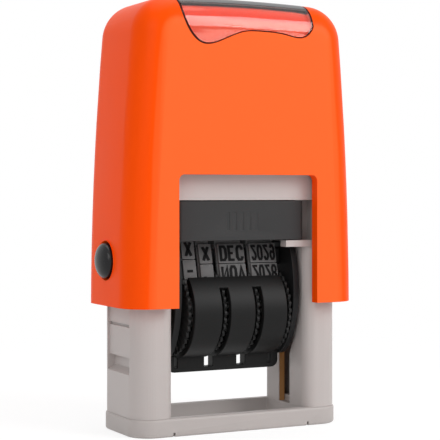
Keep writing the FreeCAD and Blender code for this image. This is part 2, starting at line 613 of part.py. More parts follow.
def make_button(sign):
    """Lock button: domed barrel, neck, stop flange inside the wall and locking tooth."""
    side = cover_half_at(LOCK_HEIGHT)
    wall_inside = side - COVER_SIDE_WALL - SEAT_GAP / 2
    flange_inner = wall_inside - FLANGE_THICKNESS
    rim = side + BUTTON_PROUD
    barrel_inner = FRAME_HALF_WIDTH + BUTTON_STROKE + RUNNING_GAP
    barrel = rod_x(BUTTON_RADIUS, sign * barrel_inner, sign * rim, LOCK_HEIGHT)
    ball_radius = (BUTTON_RADIUS ** 2 + BUTTON_DOME ** 2) / (2 * BUTTON_DOME)
    ball = Part.makeSphere(ball_radius, VEC(sign * (rim + BUTTON_DOME - ball_radius), 0, LOCK_HEIGHT))
    dome = ball.common(rod_x(BUTTON_RADIUS, sign * barrel_inner, sign * (rim + BUTTON_DOME),
                             LOCK_HEIGHT))
    low, high = LOCK_HEIGHT - TOOTH_HALF_HEIGHT, LOCK_HEIGHT + TOOTH_HALF_HEIGHT
    neck = block(sign * flange_inner, sign * (barrel_inner + SEAT_GAP), -NECK_HALF_WIDTH,
                 NECK_HALF_WIDTH, low, high)
    flange = block(sign * flange_inner, sign * wall_inside, -FLANGE_HALF_WIDTH, FLANGE_HALF_WIDTH,
                   LOCK_HEIGHT - FLANGE_HALF_HEIGHT, LOCK_HEIGHT + FLANGE_HALF_HEIGHT)
    tip = FRAME_HALF_WIDTH - TRACK_DEPTH + TOOTH_TIP_GAP
    tooth = block(sign * tip, sign * flange_inner, -TOOTH_HALF_WIDTH, TOOTH_HALF_WIDTH, low, high)
    return barrel.multiFuse([dome, neck, flange, tooth])


def yoke_arm(sign):
    """Arm inside one leg with the round stub that carries the carriage."""
    arm = block(sign * ARM_INNER_X, sign * ARM_OUTER_X, -ARM_HALF_DEPTH, ARM_HALF_DEPTH,
                AXLE_HEIGHT, ROOF_UNDERSIDE)
    foot = rod_x(ARM_HALF_DEPTH, sign * ARM_INNER_X, sign * ARM_OUTER_X, AXLE_HEIGHT)
    stub = rod_x(AXLE_RADIUS, sign * AXLE_END_X, sign * ARM_OUTER_X, AXLE_HEIGHT)
    return arm.multiFuse([foot, stub])


def make_yoke():
    """Yoke under the cover roof: bridge, spring boss and the two long arms."""
    bridge = block(-ARM_OUTER_X, ARM_OUTER_X, -YOKE_BRIDGE_HALF_DEPTH, YOKE_BRIDGE_HALF_DEPTH,
                   BRIDGE_UNDERSIDE, ROOF_UNDERSIDE)
    boss = Part.makeCylinder(YOKE_BOSS_RADIUS, YOKE_BOSS_LENGTH + YOKE_BRIDGE / 2,
                             VEC(0, 0, BRIDGE_UNDERSIDE - YOKE_BOSS_LENGTH))
    solid = bridge.multiFuse([boss, both_sides(yoke_arm)])
    room = cover_block(COVER_SIDE_WALL, COVER_FRONT_WALL, COVER_ROOF, 0)
    return solid.common(room)


def biarc(start, start_way, end, end_way):
    """Two round arcs that join two points along the two given directions."""
    across = end - start
    ways = start_way + end_way
    spread = 2 * (1 - start_way.dot(end_way))
    lean = across.dot(ways)
    reach = (math.sqrt(lean ** 2 + spread * across.dot(across)) - lean) / spread
    first = start + start_way * reach
    second = end - end_way * reach
    middle = (first + second) * (1 / 2)
    return [arc_towards(start, first, middle), arc_towards(middle, second, end)]


def make_return_spring():
    """Coil spring between the housing and the yoke, as one tube along quarter turns."""
    bottom = WELL_BOTTOM + SPRING_WIRE / 2 + SPRING_SEAT_GAP
    top = BRIDGE_UNDERSIDE - SPRING_WIRE / 2 - SPRING_SEAT_GAP
    rise = (top - bottom) / (SPRING_TURNS * 2 * math.pi)
    quarters = SPRING_TURNS * 4
    places = []
    for index in range(quarters + 1):
        angle = index * math.pi / 2
        point = VEC(SPRING_RADIUS * math.cos(angle), SPRING_RADIUS * math.sin(angle),
                    bottom + rise * angle)
        way = VEC(-SPRING_RADIUS * math.sin(angle), SPRING_RADIUS * math.cos(angle), rise)
        places.append((point, way.normalize()))
    edges = []
    for (start, start_way), (end, end_way) in zip(places, places[1:]):
        edges += biarc(start, start_way, end, end_way)
    path = Part.Wire(edges)
    ring = Part.Wire(Part.makeCircle(SPRING_WIRE / 2, places[0][0], places[0][1]))
    pitch = rise * 2 * math.pi
    slope = math.cos(math.atan2(rise, SPRING_RADIUS))
    print("return_spring least gap between turns %.2f" % (pitch * slope - SPRING_WIRE))
    return path.makePipeShell([ring], True, False)


def loop_wire(grow, x_start):
    """Outline round the drum and the two nose corners: three arcs and their tangent lines."""
    drum, nose = DRUM_RADIUS + BELT_GAP + grow, NOSE_ROUND + grow
    span = math.hypot(NOSE_HALF_DEPTH, NOSE_HEIGHT - WHEEL_HEIGHT)
    lean = math.asin((drum - nose) / span) - math.atan2(NOSE_HALF_DEPTH, NOSE_HEIGHT - WHEEL_HEIGHT)
    out = VEC(0, math.cos(lean), math.sin(lean))
    flip = lambda point: VEC(point.x, -point.y, point.z)
    low = VEC(x_start, 0, WHEEL_HEIGHT) + out * drum
    centre = VEC(x_start, NOSE_HALF_DEPTH, NOSE_HEIGHT)
    high = centre + out * nose
    turn = (lean + math.pi / 2) / 2
    bend = centre + VEC(0, math.cos(turn), math.sin(turn)) * nose
    top = centre + ALONG_Z * nose
    bottom = VEC(x_start, 0, WHEEL_HEIGHT - drum)
    edges = [Part.Arc(flip(low), bottom, low), Part.LineSegment(low, high),
             Part.Arc(high, bend, top), Part.LineSegment(top, flip(top)),
             Part.Arc(flip(top), flip(bend), flip(high)), Part.LineSegment(flip(high), flip(low))]
    return Part.Wire([edge.toShape() for edge in edges])


def place_on_loop(wire, share, shift):
    """Point and outward direction at a share of the loop, counted from its top middle forwards."""
    edges = wire.Edges[3:] + wire.Edges[:3]
    distance = (share * wire.Length - shift + wire.Edges[3].Length / 2) % wire.Length
    for edge in edges:
        if distance <= edge.Length:
            break
        distance -= edge.Length
    where = edge.getParameterByLength(distance)
    point = edge.valueAt(where)
    way = edge.tangentAt(where)
    return point, VEC(0, way.z, -way.y)


def lay_out_bands():
    """Lowest and highest X of each band and the side of its rim, with the row in the middle."""
    places = {}
    start = -ROW_WIDTH / 2
    for name, width, room, side in BAND_PLAN:
        places[name] = (start, start + width, side)
        start += width + room
    return places


BANDS = lay_out_bands()


def make_band(name):
    """Endless rubber band with its raised character blocks."""
    x_low, x_high, rim_side = BANDS[name]
    width = VEC(x_high - x_low, 0, 0)
    outside = loop_wire(BELT_THICKNESS, x_low)
    belt = prism(outside, width).cut(prism(loop_wire(0, x_low), width))
    centre = VEC(x_low, 0, (NOSE_HEIGHT + WHEEL_HEIGHT) / 2)
    shift = TENS_BAND_SHIFT if name == "tens" else 0
    blocks = []
    for index in range(BLOCK_COUNT):
        point, out = place_on_loop(outside, index / BLOCK_COUNT, shift)
        if out.dot(point - centre) < 0:
            out = out * -1
        base = point - out * BLOCK_ROOT + ALONG_X * BLOCK_SIDE_INSET
        half = out.cross(ALONG_X) * (BLOCK_LENGTH / 2)
        rise = out * (BLOCK_ROOT + BLOCK_HEIGHT)
        outline = Part.makePolygon([base - half, base + half, base + half + rise,
                                    base - half + rise, base - half])
        blocks.append(prism(outline, VEC(x_high - x_low - 2 * BLOCK_SIDE_INSET, 0, 0)))
    return belt.multiFuse(blocks)


def rim_outline(x_start):
    """Saw-edged outline of a thumb rim."""
    points = []
    for index in range(2 * RIM_TOOTH_COUNT):
        angle = math.pi * index / RIM_TOOTH_COUNT
        radius = RIM_RADIUS if index % 2 == 0 else RIM_RADIUS - RIM_TOOTH
        points.append(VEC(x_start, radius * math.cos(angle), WHEEL_HEIGHT + radius * math.sin(angle)))
    return Part.makePolygon(points + points[:1])


def rim_place(name):
    """Lowest X of the thumb rim beside its band."""
    x_low, x_high, rim_side = BANDS[name]
    return x_high + RIM_GAP if rim_side > 0 else x_low - RIM_GAP - RIM_THICKNESS


def make_wheel(name):
    """Band drum with its saw-edged thumb rim."""
    x_low, x_high, rim_side = BANDS[name]
    rim_low = rim_place(name)
    drum_low, drum_high = min(x_low, rim_low), max(x_high, rim_low + RIM_THICKNESS)
    drum = rod_x(DRUM_RADIUS, drum_low, drum_high, WHEEL_HEIGHT)
    rim = prism(rim_outline(rim_low), VEC(RIM_THICKNESS, 0, 0))
    bore = rod_x(SHAFT_RADIUS + RUNNING_GAP, drum_low - OVERRUN, drum_high + OVERRUN, WHEEL_HEIGHT)
    return drum.fuse(rim).cut(bore)


def make_wheel_shaft():
    """Steel shaft through the four wheels, with a head outside each cheek."""
    shaft = rod_x(SHAFT_RADIUS, -CHEEK_OUTER_X, CHEEK_OUTER_X, WHEEL_HEIGHT)
    head = lambda sign: rod_x(SHAFT_HEAD_RADIUS, sign * CHEEK_OUTER_X,
                              sign * (CHEEK_OUTER_X + SHAFT_HEAD_LENGTH), WHEEL_HEIGHT)
    return shaft.fuse(both_sides(head))


def make_cheek(sign):
    """Oval side plate of the carriage with its bearing bore, shaft hole and guide nib."""
    centre = VEC(sign * CHEEK_INNER_X, 0, CHEEK_CENTRE_HEIGHT)
    oval = Part.Ellipse(centre + ALONG_Z * CHEEK_HALF_HEIGHT, centre + ALONG_Y * CHEEK_HALF_DEPTH,
                        centre)
    plate = prism(Part.Wire(oval.toShape()), ALONG_X * (sign * (CHEEK_OUTER_X - CHEEK_INNER_X)))
    keep = block(sign * (CHEEK_INNER_X - OVERRUN), sign * (CHEEK_OUTER_X + OVERRUN),
                 -CHEEK_HALF_DEPTH - OVERRUN, CHEEK_HALF_DEPTH + OVERRUN,
                 CHEEK_CENTRE_HEIGHT - CHEEK_HALF_HEIGHT - OVERRUN, CHEEK_TOP)
    nib_end = LEG_INNER_X + NIB_TRACK_DEPTH - NIB_END_GAP
    nib = rod_x(NIB_RADIUS, sign * CHEEK_INNER_X, sign * nib_end, AXLE_HEIGHT - NIB_OFFSET)
    bores = [rod_x(AXLE_RADIUS + RUNNING_GAP, sign * (CHEEK_INNER_X - OVERRUN),
                   sign * (CHEEK_OUTER_X + OVERRUN), AXLE_HEIGHT),
             rod_x(SHAFT_RADIUS, sign * (CHEEK_INNER_X - OVERRUN), sign * (CHEEK_OUTER_X + OVERRUN),
                   WHEEL_HEIGHT)]
    return plate.common(keep).fuse(nib).cut(bores[0].fuse(bores[1]))


def make_print_head():
    """Wedge inside the bands that backs the printing row."""
    round_radius = NOSE_ROUND - HEAD_GAP
    half = NOSE_HALF_DEPTH + round_radius
    top = NOSE_HEIGHT + round_radius
    corners = [VEC(-CHEEK_INNER_X, -half, HEAD_BOTTOM), VEC(-CHEEK_INNER_X, half, HEAD_BOTTOM),
               VEC(-CHEEK_INNER_X, half, top), VEC(-CHEEK_INNER_X, -half, top)]
    outline = rounded_wire(corners, [0, 0, round_radius, round_radius])
    return prism(outline, VEC(2 * CHEEK_INNER_X, 0, 0))


def ring_sector(inner, outer, low_angle, high_angle, x_low, x_high):
    """Part of a tube round the wheel shaft between two angles above the rearward direction."""
    far = outer * 2
    fan = [VEC(x_low, 0, WHEEL_HEIGHT)]
    steps = 4
    for index in range(steps + 1):
        angle = math.radians(low_angle + (high_angle - low_angle) * index / steps)
        fan.append(VEC(x_low, far * math.cos(angle), WHEEL_HEIGHT + far * math.sin(angle)))
    wedge = prism(Part.makePolygon(fan + fan[:1]), VEC(x_high - x_low, 0, 0))
    tube = rod_x(outer, x_low, x_high, WHEEL_HEIGHT)
    if inner > 0:
        tube = tube.cut(rod_x(inner, x_low - OVERRUN, x_high + OVERRUN, WHEEL_HEIGHT))
    return tube.common(wedge)


def slot_sides(name):
    """Lowest and highest X of a rim's slot in the guard; the outer slots reach the cheeks."""
    low = rim_place(name) + SLOT_SHIFT - SLOT_ROOM
    high = rim_place(name) + RIM_THICKNESS + SLOT_SHIFT + SLOT_ROOM
    if name == BAND_PLAN[0][0]:
        low = -CHEEK_INNER_X - OVERRUN
    if name == BAND_PLAN[-1][0]:
        high = CHEEK_INNER_X + OVERRUN
    return low, high


def rim_slot(name):
    """Slot of the guard and lip for one thumb rim; the outer ones are open at the guard's edges."""
    low, high = slot_sides(name)
    reach = SHROUD_OUTER_RADIUS + OVERRUN
    lip_low, lip_high = low, high
    if name == BAND_PLAN[0][0]:
        around = rod_x(reach, low, high, WHEEL_HEIGHT)
        lip_low = high - OUTER_NOTCH_WIDTH
    elif name == BAND_PLAN[-1][0]:
        around = rod_x(reach, low, high, WHEEL_HEIGHT)
        lip_high = low + OUTER_NOTCH_WIDTH
    else:
        around = ring_sector(0, reach, -180 - SLOT_TOP_ANGLE, SLOT_TOP_ANGLE, low, high)
    through = block(lip_low, lip_high, -LIP_HALF_DEPTH - OVERRUN, LIP_HALF_DEPTH + OVERRUN,
                    LIP_BOTTOM + LIP_WEB, WHEEL_HEIGHT)
    return around.multiFuse([through, rod_x(RIM_CLEAR_RADIUS, low, high, WHEEL_HEIGHT)])


def make_lip():
    """Grip lip across the carriage's underside, rounded at its lower ends."""
    top = WHEEL_HEIGHT - (SHROUD_INNER_RADIUS + SHROUD_OUTER_RADIUS) / 2
    corners = [VEC(-CHEEK_INNER_X, -LIP_HALF_DEPTH, top), VEC(CHEEK_INNER_X, -LIP_HALF_DEPTH, top),
               VEC(CHEEK_INNER_X, -LIP_HALF_DEPTH, LIP_BOTTOM),
               VEC(-CHEEK_INNER_X, -LIP_HALF_DEPTH, LIP_BOTTOM)]
    return prism(rounded_wire(corners, [0, 0, LIP_END_ROUND, LIP_END_ROUND]),
                 VEC(0, 2 * LIP_HALF_DEPTH, 0))


def make_shroud():
    """Curved guard round the wheels, slotted at each thumb rim, with the grip lip below."""
    guard = ring_sector(SHROUD_INNER_RADIUS, SHROUD_OUTER_RADIUS, -180 - SHROUD_EDGE_ANGLE,
                        SHROUD_EDGE_ANGLE, -CHEEK_INNER_X, CHEEK_INNER_X)
    slots = [rim_slot(name) for name in BANDS]
    return guard.fuse(make_lip()).cut(slots[0].multiFuse(slots[1:]))


def main():
    """Builds and saves every piece."""
    save("foot_ring", make_foot_ring())
    save("frame", make_frame())
    save("ink_tray", make_ink_tray())
    save("ink_felt", make_ink_felt())
    save("cover_shell", make_cover_shell())
    save("index_lens", make_index_lens())
    save("top_plate", make_top_plate())
    save("yoke", make_yoke())
    save("return_spring", make_return_spring())
    for side, sign in SIDES.items():
        save("lock_bush_" + side, make_bush(sign))
        save("lock_button_" + side, make_button(sign))
        save("cheek_" + side, make_cheek(sign))
    save("print_head", make_print_head())
    save("wheel_shaft", make_wheel_shaft())
    save("wheel_shroud", make_shroud())
    for name in BANDS:
        save(name + "_band", make_band(name))
        save(name + "_wheel", make_wheel(name))


main()
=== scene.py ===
"""Looks of a self-inking date stamp, dressed on its packed construction."""
import logging
import math
from dataclasses import dataclass, field
from enum import Enum
from typing import Callable, Sequence

import bmesh
import bpy
import numpy as np
from mathutils import Euler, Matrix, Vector


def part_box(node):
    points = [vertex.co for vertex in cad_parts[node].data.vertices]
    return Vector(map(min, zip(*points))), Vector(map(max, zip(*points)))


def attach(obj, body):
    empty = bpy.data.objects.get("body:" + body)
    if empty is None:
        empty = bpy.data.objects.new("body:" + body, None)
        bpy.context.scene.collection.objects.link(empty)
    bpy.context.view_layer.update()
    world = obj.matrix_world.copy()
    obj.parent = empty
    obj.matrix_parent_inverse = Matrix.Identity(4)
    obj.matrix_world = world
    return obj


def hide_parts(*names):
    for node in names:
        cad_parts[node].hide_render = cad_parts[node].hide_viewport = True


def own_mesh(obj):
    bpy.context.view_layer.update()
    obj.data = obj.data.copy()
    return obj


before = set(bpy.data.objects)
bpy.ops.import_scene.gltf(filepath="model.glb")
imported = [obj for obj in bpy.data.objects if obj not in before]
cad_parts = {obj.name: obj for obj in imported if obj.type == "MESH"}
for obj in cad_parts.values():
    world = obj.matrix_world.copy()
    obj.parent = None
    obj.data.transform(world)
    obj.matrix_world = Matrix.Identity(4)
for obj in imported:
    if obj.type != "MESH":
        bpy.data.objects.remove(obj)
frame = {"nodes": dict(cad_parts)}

MM = 0.001
LOG = logging.getLogger("date_stamp")
Array = np.ndarray
Colour = tuple[float, float, float]
Socket = bpy.types.NodeSocket
Sockets = bpy.types.bpy_prop_collection
X_AXIS, Y_AXIS, Z_AXIS = np.eye(3)
QUARTER = math.pi / 2
ROUND_STEPS = 96
SHEET_SMOOTH = 35.0
MERGE_GAP = 1e-7
SLIVER_LENGTH = 1e-8
NODE_MERGE_GAP = 2e-6
FLAT_ANGLE = math.radians(0.6)
MIX_FIRST, MIX_SECOND, MIX_RESULT = 6, 7, 2
WHITE = (1.0, 1.0, 1.0, 1.0)
BLACK = (0.0, 0.0, 0.0, 1.0)
DUST_COLOUR = (0.55, 0.53, 0.5, 1.0)
MASK = {"Mask": "NodeSocketFloat"}


class Side(Enum):
    """Side of the machine, with its sign along X."""

    LEFT = -1
    RIGHT = 1

    @property
    def word(self) -> str:
        """Name of the side as the nodes write it."""
        return self.name.lower()


class Grain(Enum):
    """How coarse a moulded surface is: share of the finish's own bump."""

    POLISHED = 0.15
    SATIN = 0.6
    TEXTURED = 1.0


class DateBand(Enum):
    """The four date bands, with the words on their blocks from the print row over the front."""

    TENS = ("tens", ("1", "X", "-", "0", "1", "2", "3", "0", "1", "2", "3", "X"))
    UNITS = ("units", ("0", "X", "_", "9", "8", "7", "6", "5", "4", "3", "2", "1"))
    MONTH = ("month", ("JAN", "DEC", "NOV", "OCT", "SEP", "AUG",
                       "JUL", "JUN", "MAY", "APR", "MAR", "FEB"))
    YEAR = ("year", ("2030", "2029", "2028", "2027", "2026", "2025",
                     "2024", "2023", "2022", "2021", "2020", "2031"))

    @property
    def word(self) -> str:
        """What the band sets, as the nodes write it."""
        return self.value[0]

    @property
    def node(self) -> str:
        """Name of the band's node."""
        return self.word + "_band"

    @property
    def wheel(self) -> str:
        """Name of the band's wheel node."""
        return self.word + "_wheel"

    @property
    def blocks(self) -> tuple[str, ...]:
        """Words on the blocks."""
        return self.value[1]


# Shader groups


class Wiring:
    """Short hand for placing and joining shader nodes in one tree."""

    def __init__(self, tree: bpy.types.NodeTree) -> None:
        """Keeps the tree that the nodes go into."""
        self.tree = tree

    def node(self, kind: str, **settings: object) -> bpy.types.Node:
        """Adds a node.

        Args:
            kind: type of the node.
            **settings: the node's own properties.

        Returns:
            The new node.
        """
        made = self.tree.nodes.new(kind)
        for key, value in settings.items():
            setattr(made, key, value)
        return made

    def join(self, source: Socket, target: Socket) -> None:
        """Links one output to one input."""
        self.tree.links.new(source, target)

    def feed(self, sockets: Sockets, values: dict) -> None:
        """Gives inputs their values.

        Args:
            sockets: the inputs of a node.
            values: for an input's name or number, a plain value or the output that feeds it.
        """
        for label, value in values.items():
            if isinstance(value, Socket):
                self.join(value, sockets[label])
            else:
                sockets[label].default_value = value

    def math(self, operation: str, *values: object) -> Socket:
        """Adds a math node.

        Args:
            operation: what it works out.
            *values: numbers or outputs that it works on.

        Returns:
            Its result.
        """
        made = self.node("ShaderNodeMath", operation=operation)
        self.feed(made.inputs, dict(enumerate(values)))
        return made.outputs[0]

    def place(self, space: str) -> Socket:
        """Coordinates of the surface in the named space."""
        return self.node("ShaderNodeTexCoord").outputs[space]

    def split(self, vector: Socket) -> Sockets:
        """Takes a vector apart.

        Args:
            vector: the output to take apart.

        Returns:
            Its X, Y and Z.
        """
        made = self.node("ShaderNodeSeparateXYZ")
        self.join(vector, made.inputs[0])
        return made.outputs

    def noise(self, scale: object, detail: float, roughness: float = 0.5) -> Socket:
        """Adds noise on Object coordinates.

        Args:
            scale: waves in a metre, a number or an output.
            detail: how many finer waves lie on it.
            roughness: how strong the finer waves are.

        Returns:
            Its value.
        """
        made = self.node("ShaderNodeTexNoise")
        self.feed(made.inputs, {"Vector": self.place("Object"), "Scale": scale, "Detail": detail,
                                "Roughness": roughness})
        return made.outputs["Fac"]

    def mix(self, share: Socket, first: object, second: object) -> Socket:
        """Adds a colour mix.

        Args:
            share: share of the second colour.
            first: colour or output at a share of 0.
            second: colour or output at a share of 1.

        Returns:
            The mixed colour.
        """
        made = self.node("ShaderNodeMix", data_type="RGBA")
        self.feed(made.inputs, {"Factor": share, MIX_FIRST: first, MIX_SECOND: second})
        return made.outputs[MIX_RESULT]

    def bump(self, height: Socket, strength: float, distance: float) -> Socket:
        """Adds a bump.

        Args:
            height: output that gives the height.
            strength: share of the effect.
            distance: height of a full bump in metres.

        Returns:
            The bumped normal.
        """
        made = self.node("ShaderNodeBump")
        self.feed(made.inputs, {"Strength": strength, "Distance": distance, "Height": height})
        return made.outputs["Normal"]

    def group(self, tree: bpy.types.NodeTree, **values: object) -> Sockets:
        """Places a shader group.

        Args:
            tree: the group.
            **values: its inputs by name, with an underscore for a space.

        Returns:
            The outputs of the placed group.
        """
        made = self.node("ShaderNodeGroup", node_tree=tree)
        self.feed(made.inputs, {label.replace("_", " "): value for label, value in values.items()})
        return made.outputs


def start_group(name: str, inputs: dict,
                outputs: dict[str, str]) -> tuple[Wiring, Sockets, Sockets]:
    """Makes an empty shader group with its sockets.

    Args:
        name: name of the group.
        inputs: default of each input, a number or a colour.
        outputs: socket type of each output.

    Returns:
        The group's wiring, the outputs of its input node and the inputs of its output node.
    """
    tree = bpy.data.node_groups.new(name, "ShaderNodeTree")
    for label, default in inputs.items():
        kind = "NodeSocketColor" if isinstance(default, tuple) else "NodeSocketFloat"
        socket = tree.interface.new_socket(label, in_out="INPUT", socket_type=kind)
        socket.default_value = default
    for label, kind in outputs.items():
        tree.interface.new_socket(label, in_out="OUTPUT", socket_type=kind)
    given, out = tree.nodes.new("NodeGroupInput"), tree.nodes.new("NodeGroupOutput")
    return Wiring(tree), given.outputs, out.inputs


@dataclass
class ShaderGroups:
    """The groups that several finishes share, each built once, with their patterns' numbers."""

    wear_and_highlight_samples: int = 4
    wear_and_highlight_breaks: float = 900.0
    wear_and_highlight_detail: float = 3.0
    patch_scale: float = 60.0
    grain_detail: float = 2.0
    gloss_change: float = 0.12
    speck_scale: float = 2600.0
    speck_detail: float = 1.0
    speck_limit: float = 0.70

    def __post_init__(self) -> None:
        """Builds the groups."""
        self.wear_and_highlight = self.wear_and_highlight_group()
        self.grain = self.grain_group()
        self.dust = self.dust_group()
        self.painted_lit_face = self.painted_lit_face_group()
        self.painted_bounce = self.painted_bounce_group()

    def wear_and_highlight_group(self) -> bpy.types.NodeTree:
        """Mask of rubbed edges, and of painted edge highlights: where a rounded normal turns away
        from the true one.

        It is one less the product of the two normals, times the strength and a noise.

        Returns:
            The group.
        """
        wiring, given, out = start_group("edge_wear_and_highlight", {"Radius": 0.3 * MM, "Strength": 6.0}, MASK)
        rounded = wiring.node("ShaderNodeBevel", samples=self.wear_and_highlight_samples)
        wiring.join(given["Radius"], rounded.inputs["Radius"])
        true = wiring.node("ShaderNodeNewGeometry")
        turn = wiring.node("ShaderNodeVectorMath", operation="DOT_PRODUCT")
        wiring.feed(turn.inputs, {0: rounded.outputs["Normal"], 1: true.outputs["Normal"]})
        away = wiring.math("SUBTRACT", 1.0, turn.outputs["Value"])
        strong = wiring.math("MULTIPLY", away, given["Strength"])
        broken = wiring.math("MULTIPLY", strong, wiring.noise(self.wear_and_highlight_breaks, self.wear_and_highlight_detail))
        clamped = wiring.node("ShaderNodeClamp")
        wiring.join(broken, clamped.inputs["Value"])
        wiring.join(clamped.outputs[0], out["Mask"])
        return wiring.tree

    def grain_group(self) -> bpy.types.NodeTree:
        """Moulded plastic: spark-eroded grain as height, with soft changes of shade and gloss.

        Returns:
            The group.
        """
        wiring, given, out = start_group(
            "moulded_grain",
            {"Colour": (0.5, 0.5, 0.5, 1.0), "Shade": 0.04, "Roughness": 0.4,
             "Grain Scale": 3000.0},
            {"Colour": "NodeSocketColor", "Roughness": "NodeSocketFloat",
             "Height": "NodeSocketFloat"})
        fine = wiring.noise(given["Grain Scale"], self.grain_detail)
        wide = wiring.noise(self.patch_scale, self.grain_detail)
        centred = wiring.math("SUBTRACT", wide, 0.5)
        shaded = wiring.node("ShaderNodeVectorMath", operation="SCALE")
        wiring.feed(shaded.inputs, {0: given["Colour"], "Scale": wiring.math(
            "MULTIPLY_ADD", centred, given["Shade"], 1.0)})
        gloss = wiring.math("MULTIPLY_ADD", centred, self.gloss_change, given["Roughness"])
        wiring.feed(out, {"Colour": shaded.outputs["Vector"], "Roughness": gloss, "Height": fine})
        return wiring.tree

    def dust_group(self) -> bpy.types.NodeTree:
        """Fine dust and lint: sparse specks, thicker on faces that look up.

        Returns:
            The group.
        """
        wiring, given, out = start_group("dust", {"Amount": 0.1}, MASK)
        noise = wiring.noise(self.speck_scale, self.speck_detail)
        specks = wiring.math("GREATER_THAN", noise, self.speck_limit)
        facing = wiring.split(wiring.node("ShaderNodeNewGeometry").outputs["Normal"])
        upward = wiring.math("MULTIPLY_ADD", facing["Z"], 0.5, 0.5)
        fallen = wiring.math("MULTIPLY", specks, upward)
        wiring.join(wiring.math("MULTIPLY", fallen, given["Amount"]), out["Mask"])
        return wiring.tree

    def painted_lit_face_group(self) -> bpy.types.NodeTree:
        """Mask of the broad front and rear, where a paler colour paints the light that falls there.

        It rises smoothly from 0 at a share of the normal along Y to 1 where all of it lies along Y.

        Returns:
            The group.
        """
        wiring, given, out = start_group("painted_lit_face", {"Start": 0.93}, MASK)
        along = wiring.math("ABSOLUTE", wiring.split(wiring.place("Normal"))["Y"])
        rise = wiring.node("ShaderNodeMapRange", interpolation_type="SMOOTHSTEP")
        wiring.feed(rise.inputs, {"Value": along, "From Min": given["Start"]})
        wiring.join(rise.outputs["Result"], out["Mask"])
        return wiring.tree

    def painted_bounce_group(self) -> bpy.types.NodeTree:
        """Mask for painted bounce light in the legs' hollows: 1 inside a box on each side of the
        middle, else 0.

        Returns:
            The group.
        """
        wiring, given, out = start_group(
            "leg_painted_bounce", {"Inner": 15.0 * MM, "Outer": 20.5 * MM, "Depth": 2.4 * MM,
                           "Top": 30.0 * MM}, MASK)
        place = wiring.split(wiring.place("Object"))
        aside = wiring.math("ABSOLUTE", place["X"])
        deep = wiring.math("ABSOLUTE", place["Y"])
        beyond = wiring.math("GREATER_THAN", aside, given["Inner"])
        within = wiring.math("LESS_THAN", aside, given["Outer"])
        narrow = wiring.math("LESS_THAN", deep, given["Depth"])
        below = wiring.math("LESS_THAN", place["Z"], given["Top"])
        wiring.join(wiring.math("MULTIPLY", wiring.math("MULTIPLY", beyond, within),
                                wiring.math("MULTIPLY", narrow, below)), out["Mask"])
        return wiring.tree


# Finishes


def new_material(name: str) -> tuple[bpy.types.Material, Wiring, Sockets]:
    """Starts a material.

    Args:
        name: name of the material.

    Returns:
        The material, its wiring and its shader's inputs.
    """
    made = bpy.data.materials.new(name)
    made.use_nodes = True
    return made, Wiring(made.node_tree), made.node_tree.nodes["Principled BSDF"].inputs


@dataclass(frozen=True)
class MouldedFinish:
    """A moulded plastic or rubber finish with grain, rubbed edges that also paint highlights, a
    little dust.
    """

    name: str
    slot: str
    colour: Colour
    edge_colour: Colour
    roughness: float = 0.5
    grain: Grain = Grain.TEXTURED
    grain_scale: float = 2400.0
    bump: float = 0.25
    bump_height: float = 0.02 * MM
    shade: float = 0.05
    # Strength of the lighter edge colour: rubbed wear, and on the rubber also painted highlights.
    wear_and_highlight: float = 4.0
    dust: float = 0.02
    specular: float = 0.2
    # Paler colour of the broad front and rear: painted light, against the deeper colour as painted
    # shade.
    painted_lit_face_colour: Colour | None = None
    # Painted bounce light: a brown tint and a faint glow in the legs' hollows stand for orange
    # light from the cover in their shade.
    painted_bounce: Colour | None = None
    painted_bounce_glow: Colour = (0.0, 0.0, 0.0)

    def material(self, groups: ShaderGroups) -> bpy.types.Material:
        """Builds the material of this finish.

        Args:
            groups: the shared shader groups.

        Returns:
            The new material.
        """
        made, wiring, shader = new_material(self.name)
        colour = (*self.colour, 1)
        # Painted light and shade: broad faces take the paler colour, sides and corners keep the
        # deeper one.
        if self.painted_lit_face_colour is not None:
            lit_face_share = wiring.group(groups.painted_lit_face)["Mask"]
            colour = wiring.mix(lit_face_share, colour, (*self.painted_lit_face_colour, 1))
        surface = wiring.group(groups.grain, Colour=colour, Shade=self.shade,
                               Roughness=self.roughness, Grain_Scale=self.grain_scale)
        # Lighter edges: rubbed wear, and painted highlight on the rubber's block edges.
        wear_and_highlight = wiring.group(groups.wear_and_highlight, Strength=self.wear_and_highlight)["Mask"]
        dust = wiring.group(groups.dust, Amount=self.dust)["Mask"]
        worn_and_lit = wiring.mix(wear_and_highlight, surface["Colour"], (*self.edge_colour, 1))
        seen = wiring.mix(dust, worn_and_lit, DUST_COLOUR)
        # Painted bounce light: the legs' hollows take a brown tint and an emission glow, though
        # nothing there is a lamp.
        if self.painted_bounce is not None:
            inside = wiring.group(groups.painted_bounce)["Mask"]
            seen = wiring.mix(inside, seen, (*self.painted_bounce, 1))
            glow = wiring.mix(inside, BLACK, (*self.painted_bounce_glow, 1))
            wiring.feed(shader, {"Emission Color": glow, "Emission Strength": 1.0})
        normal = wiring.bump(surface["Height"], self.bump * self.grain.value, self.bump_height)
        wiring.feed(shader, {"Base Color": seen, "Roughness": surface["Roughness"],
                             "Normal": normal, "Specular IOR Level": self.specular})
        return made


@dataclass(frozen=True)
class ClearFinish:
    """Clear moulded plastic that shows what lies under it."""

    name: str
    slot: str
    colour: Colour
    roughness: float = 0.06
    shade: float = 0.01
    ior: float = 1.49

    def material(self, groups: ShaderGroups) -> bpy.types.Material:
        """Builds the material of this finish.

        Args:
            groups: the shared shader groups.

        Returns:
            The new material.
        """
        made, wiring, shader = new_material(self.name)
        surface = wiring.group(groups.grain, Colour=(*self.colour, 1), Shade=self.shade,
                               Roughness=self.roughness)
        wiring.feed(shader, {"Base Color": surface["Colour"], "Roughness": surface["Roughness"],
                             "Transmission Weight": 1.0, "IOR": self.ior})
        return made


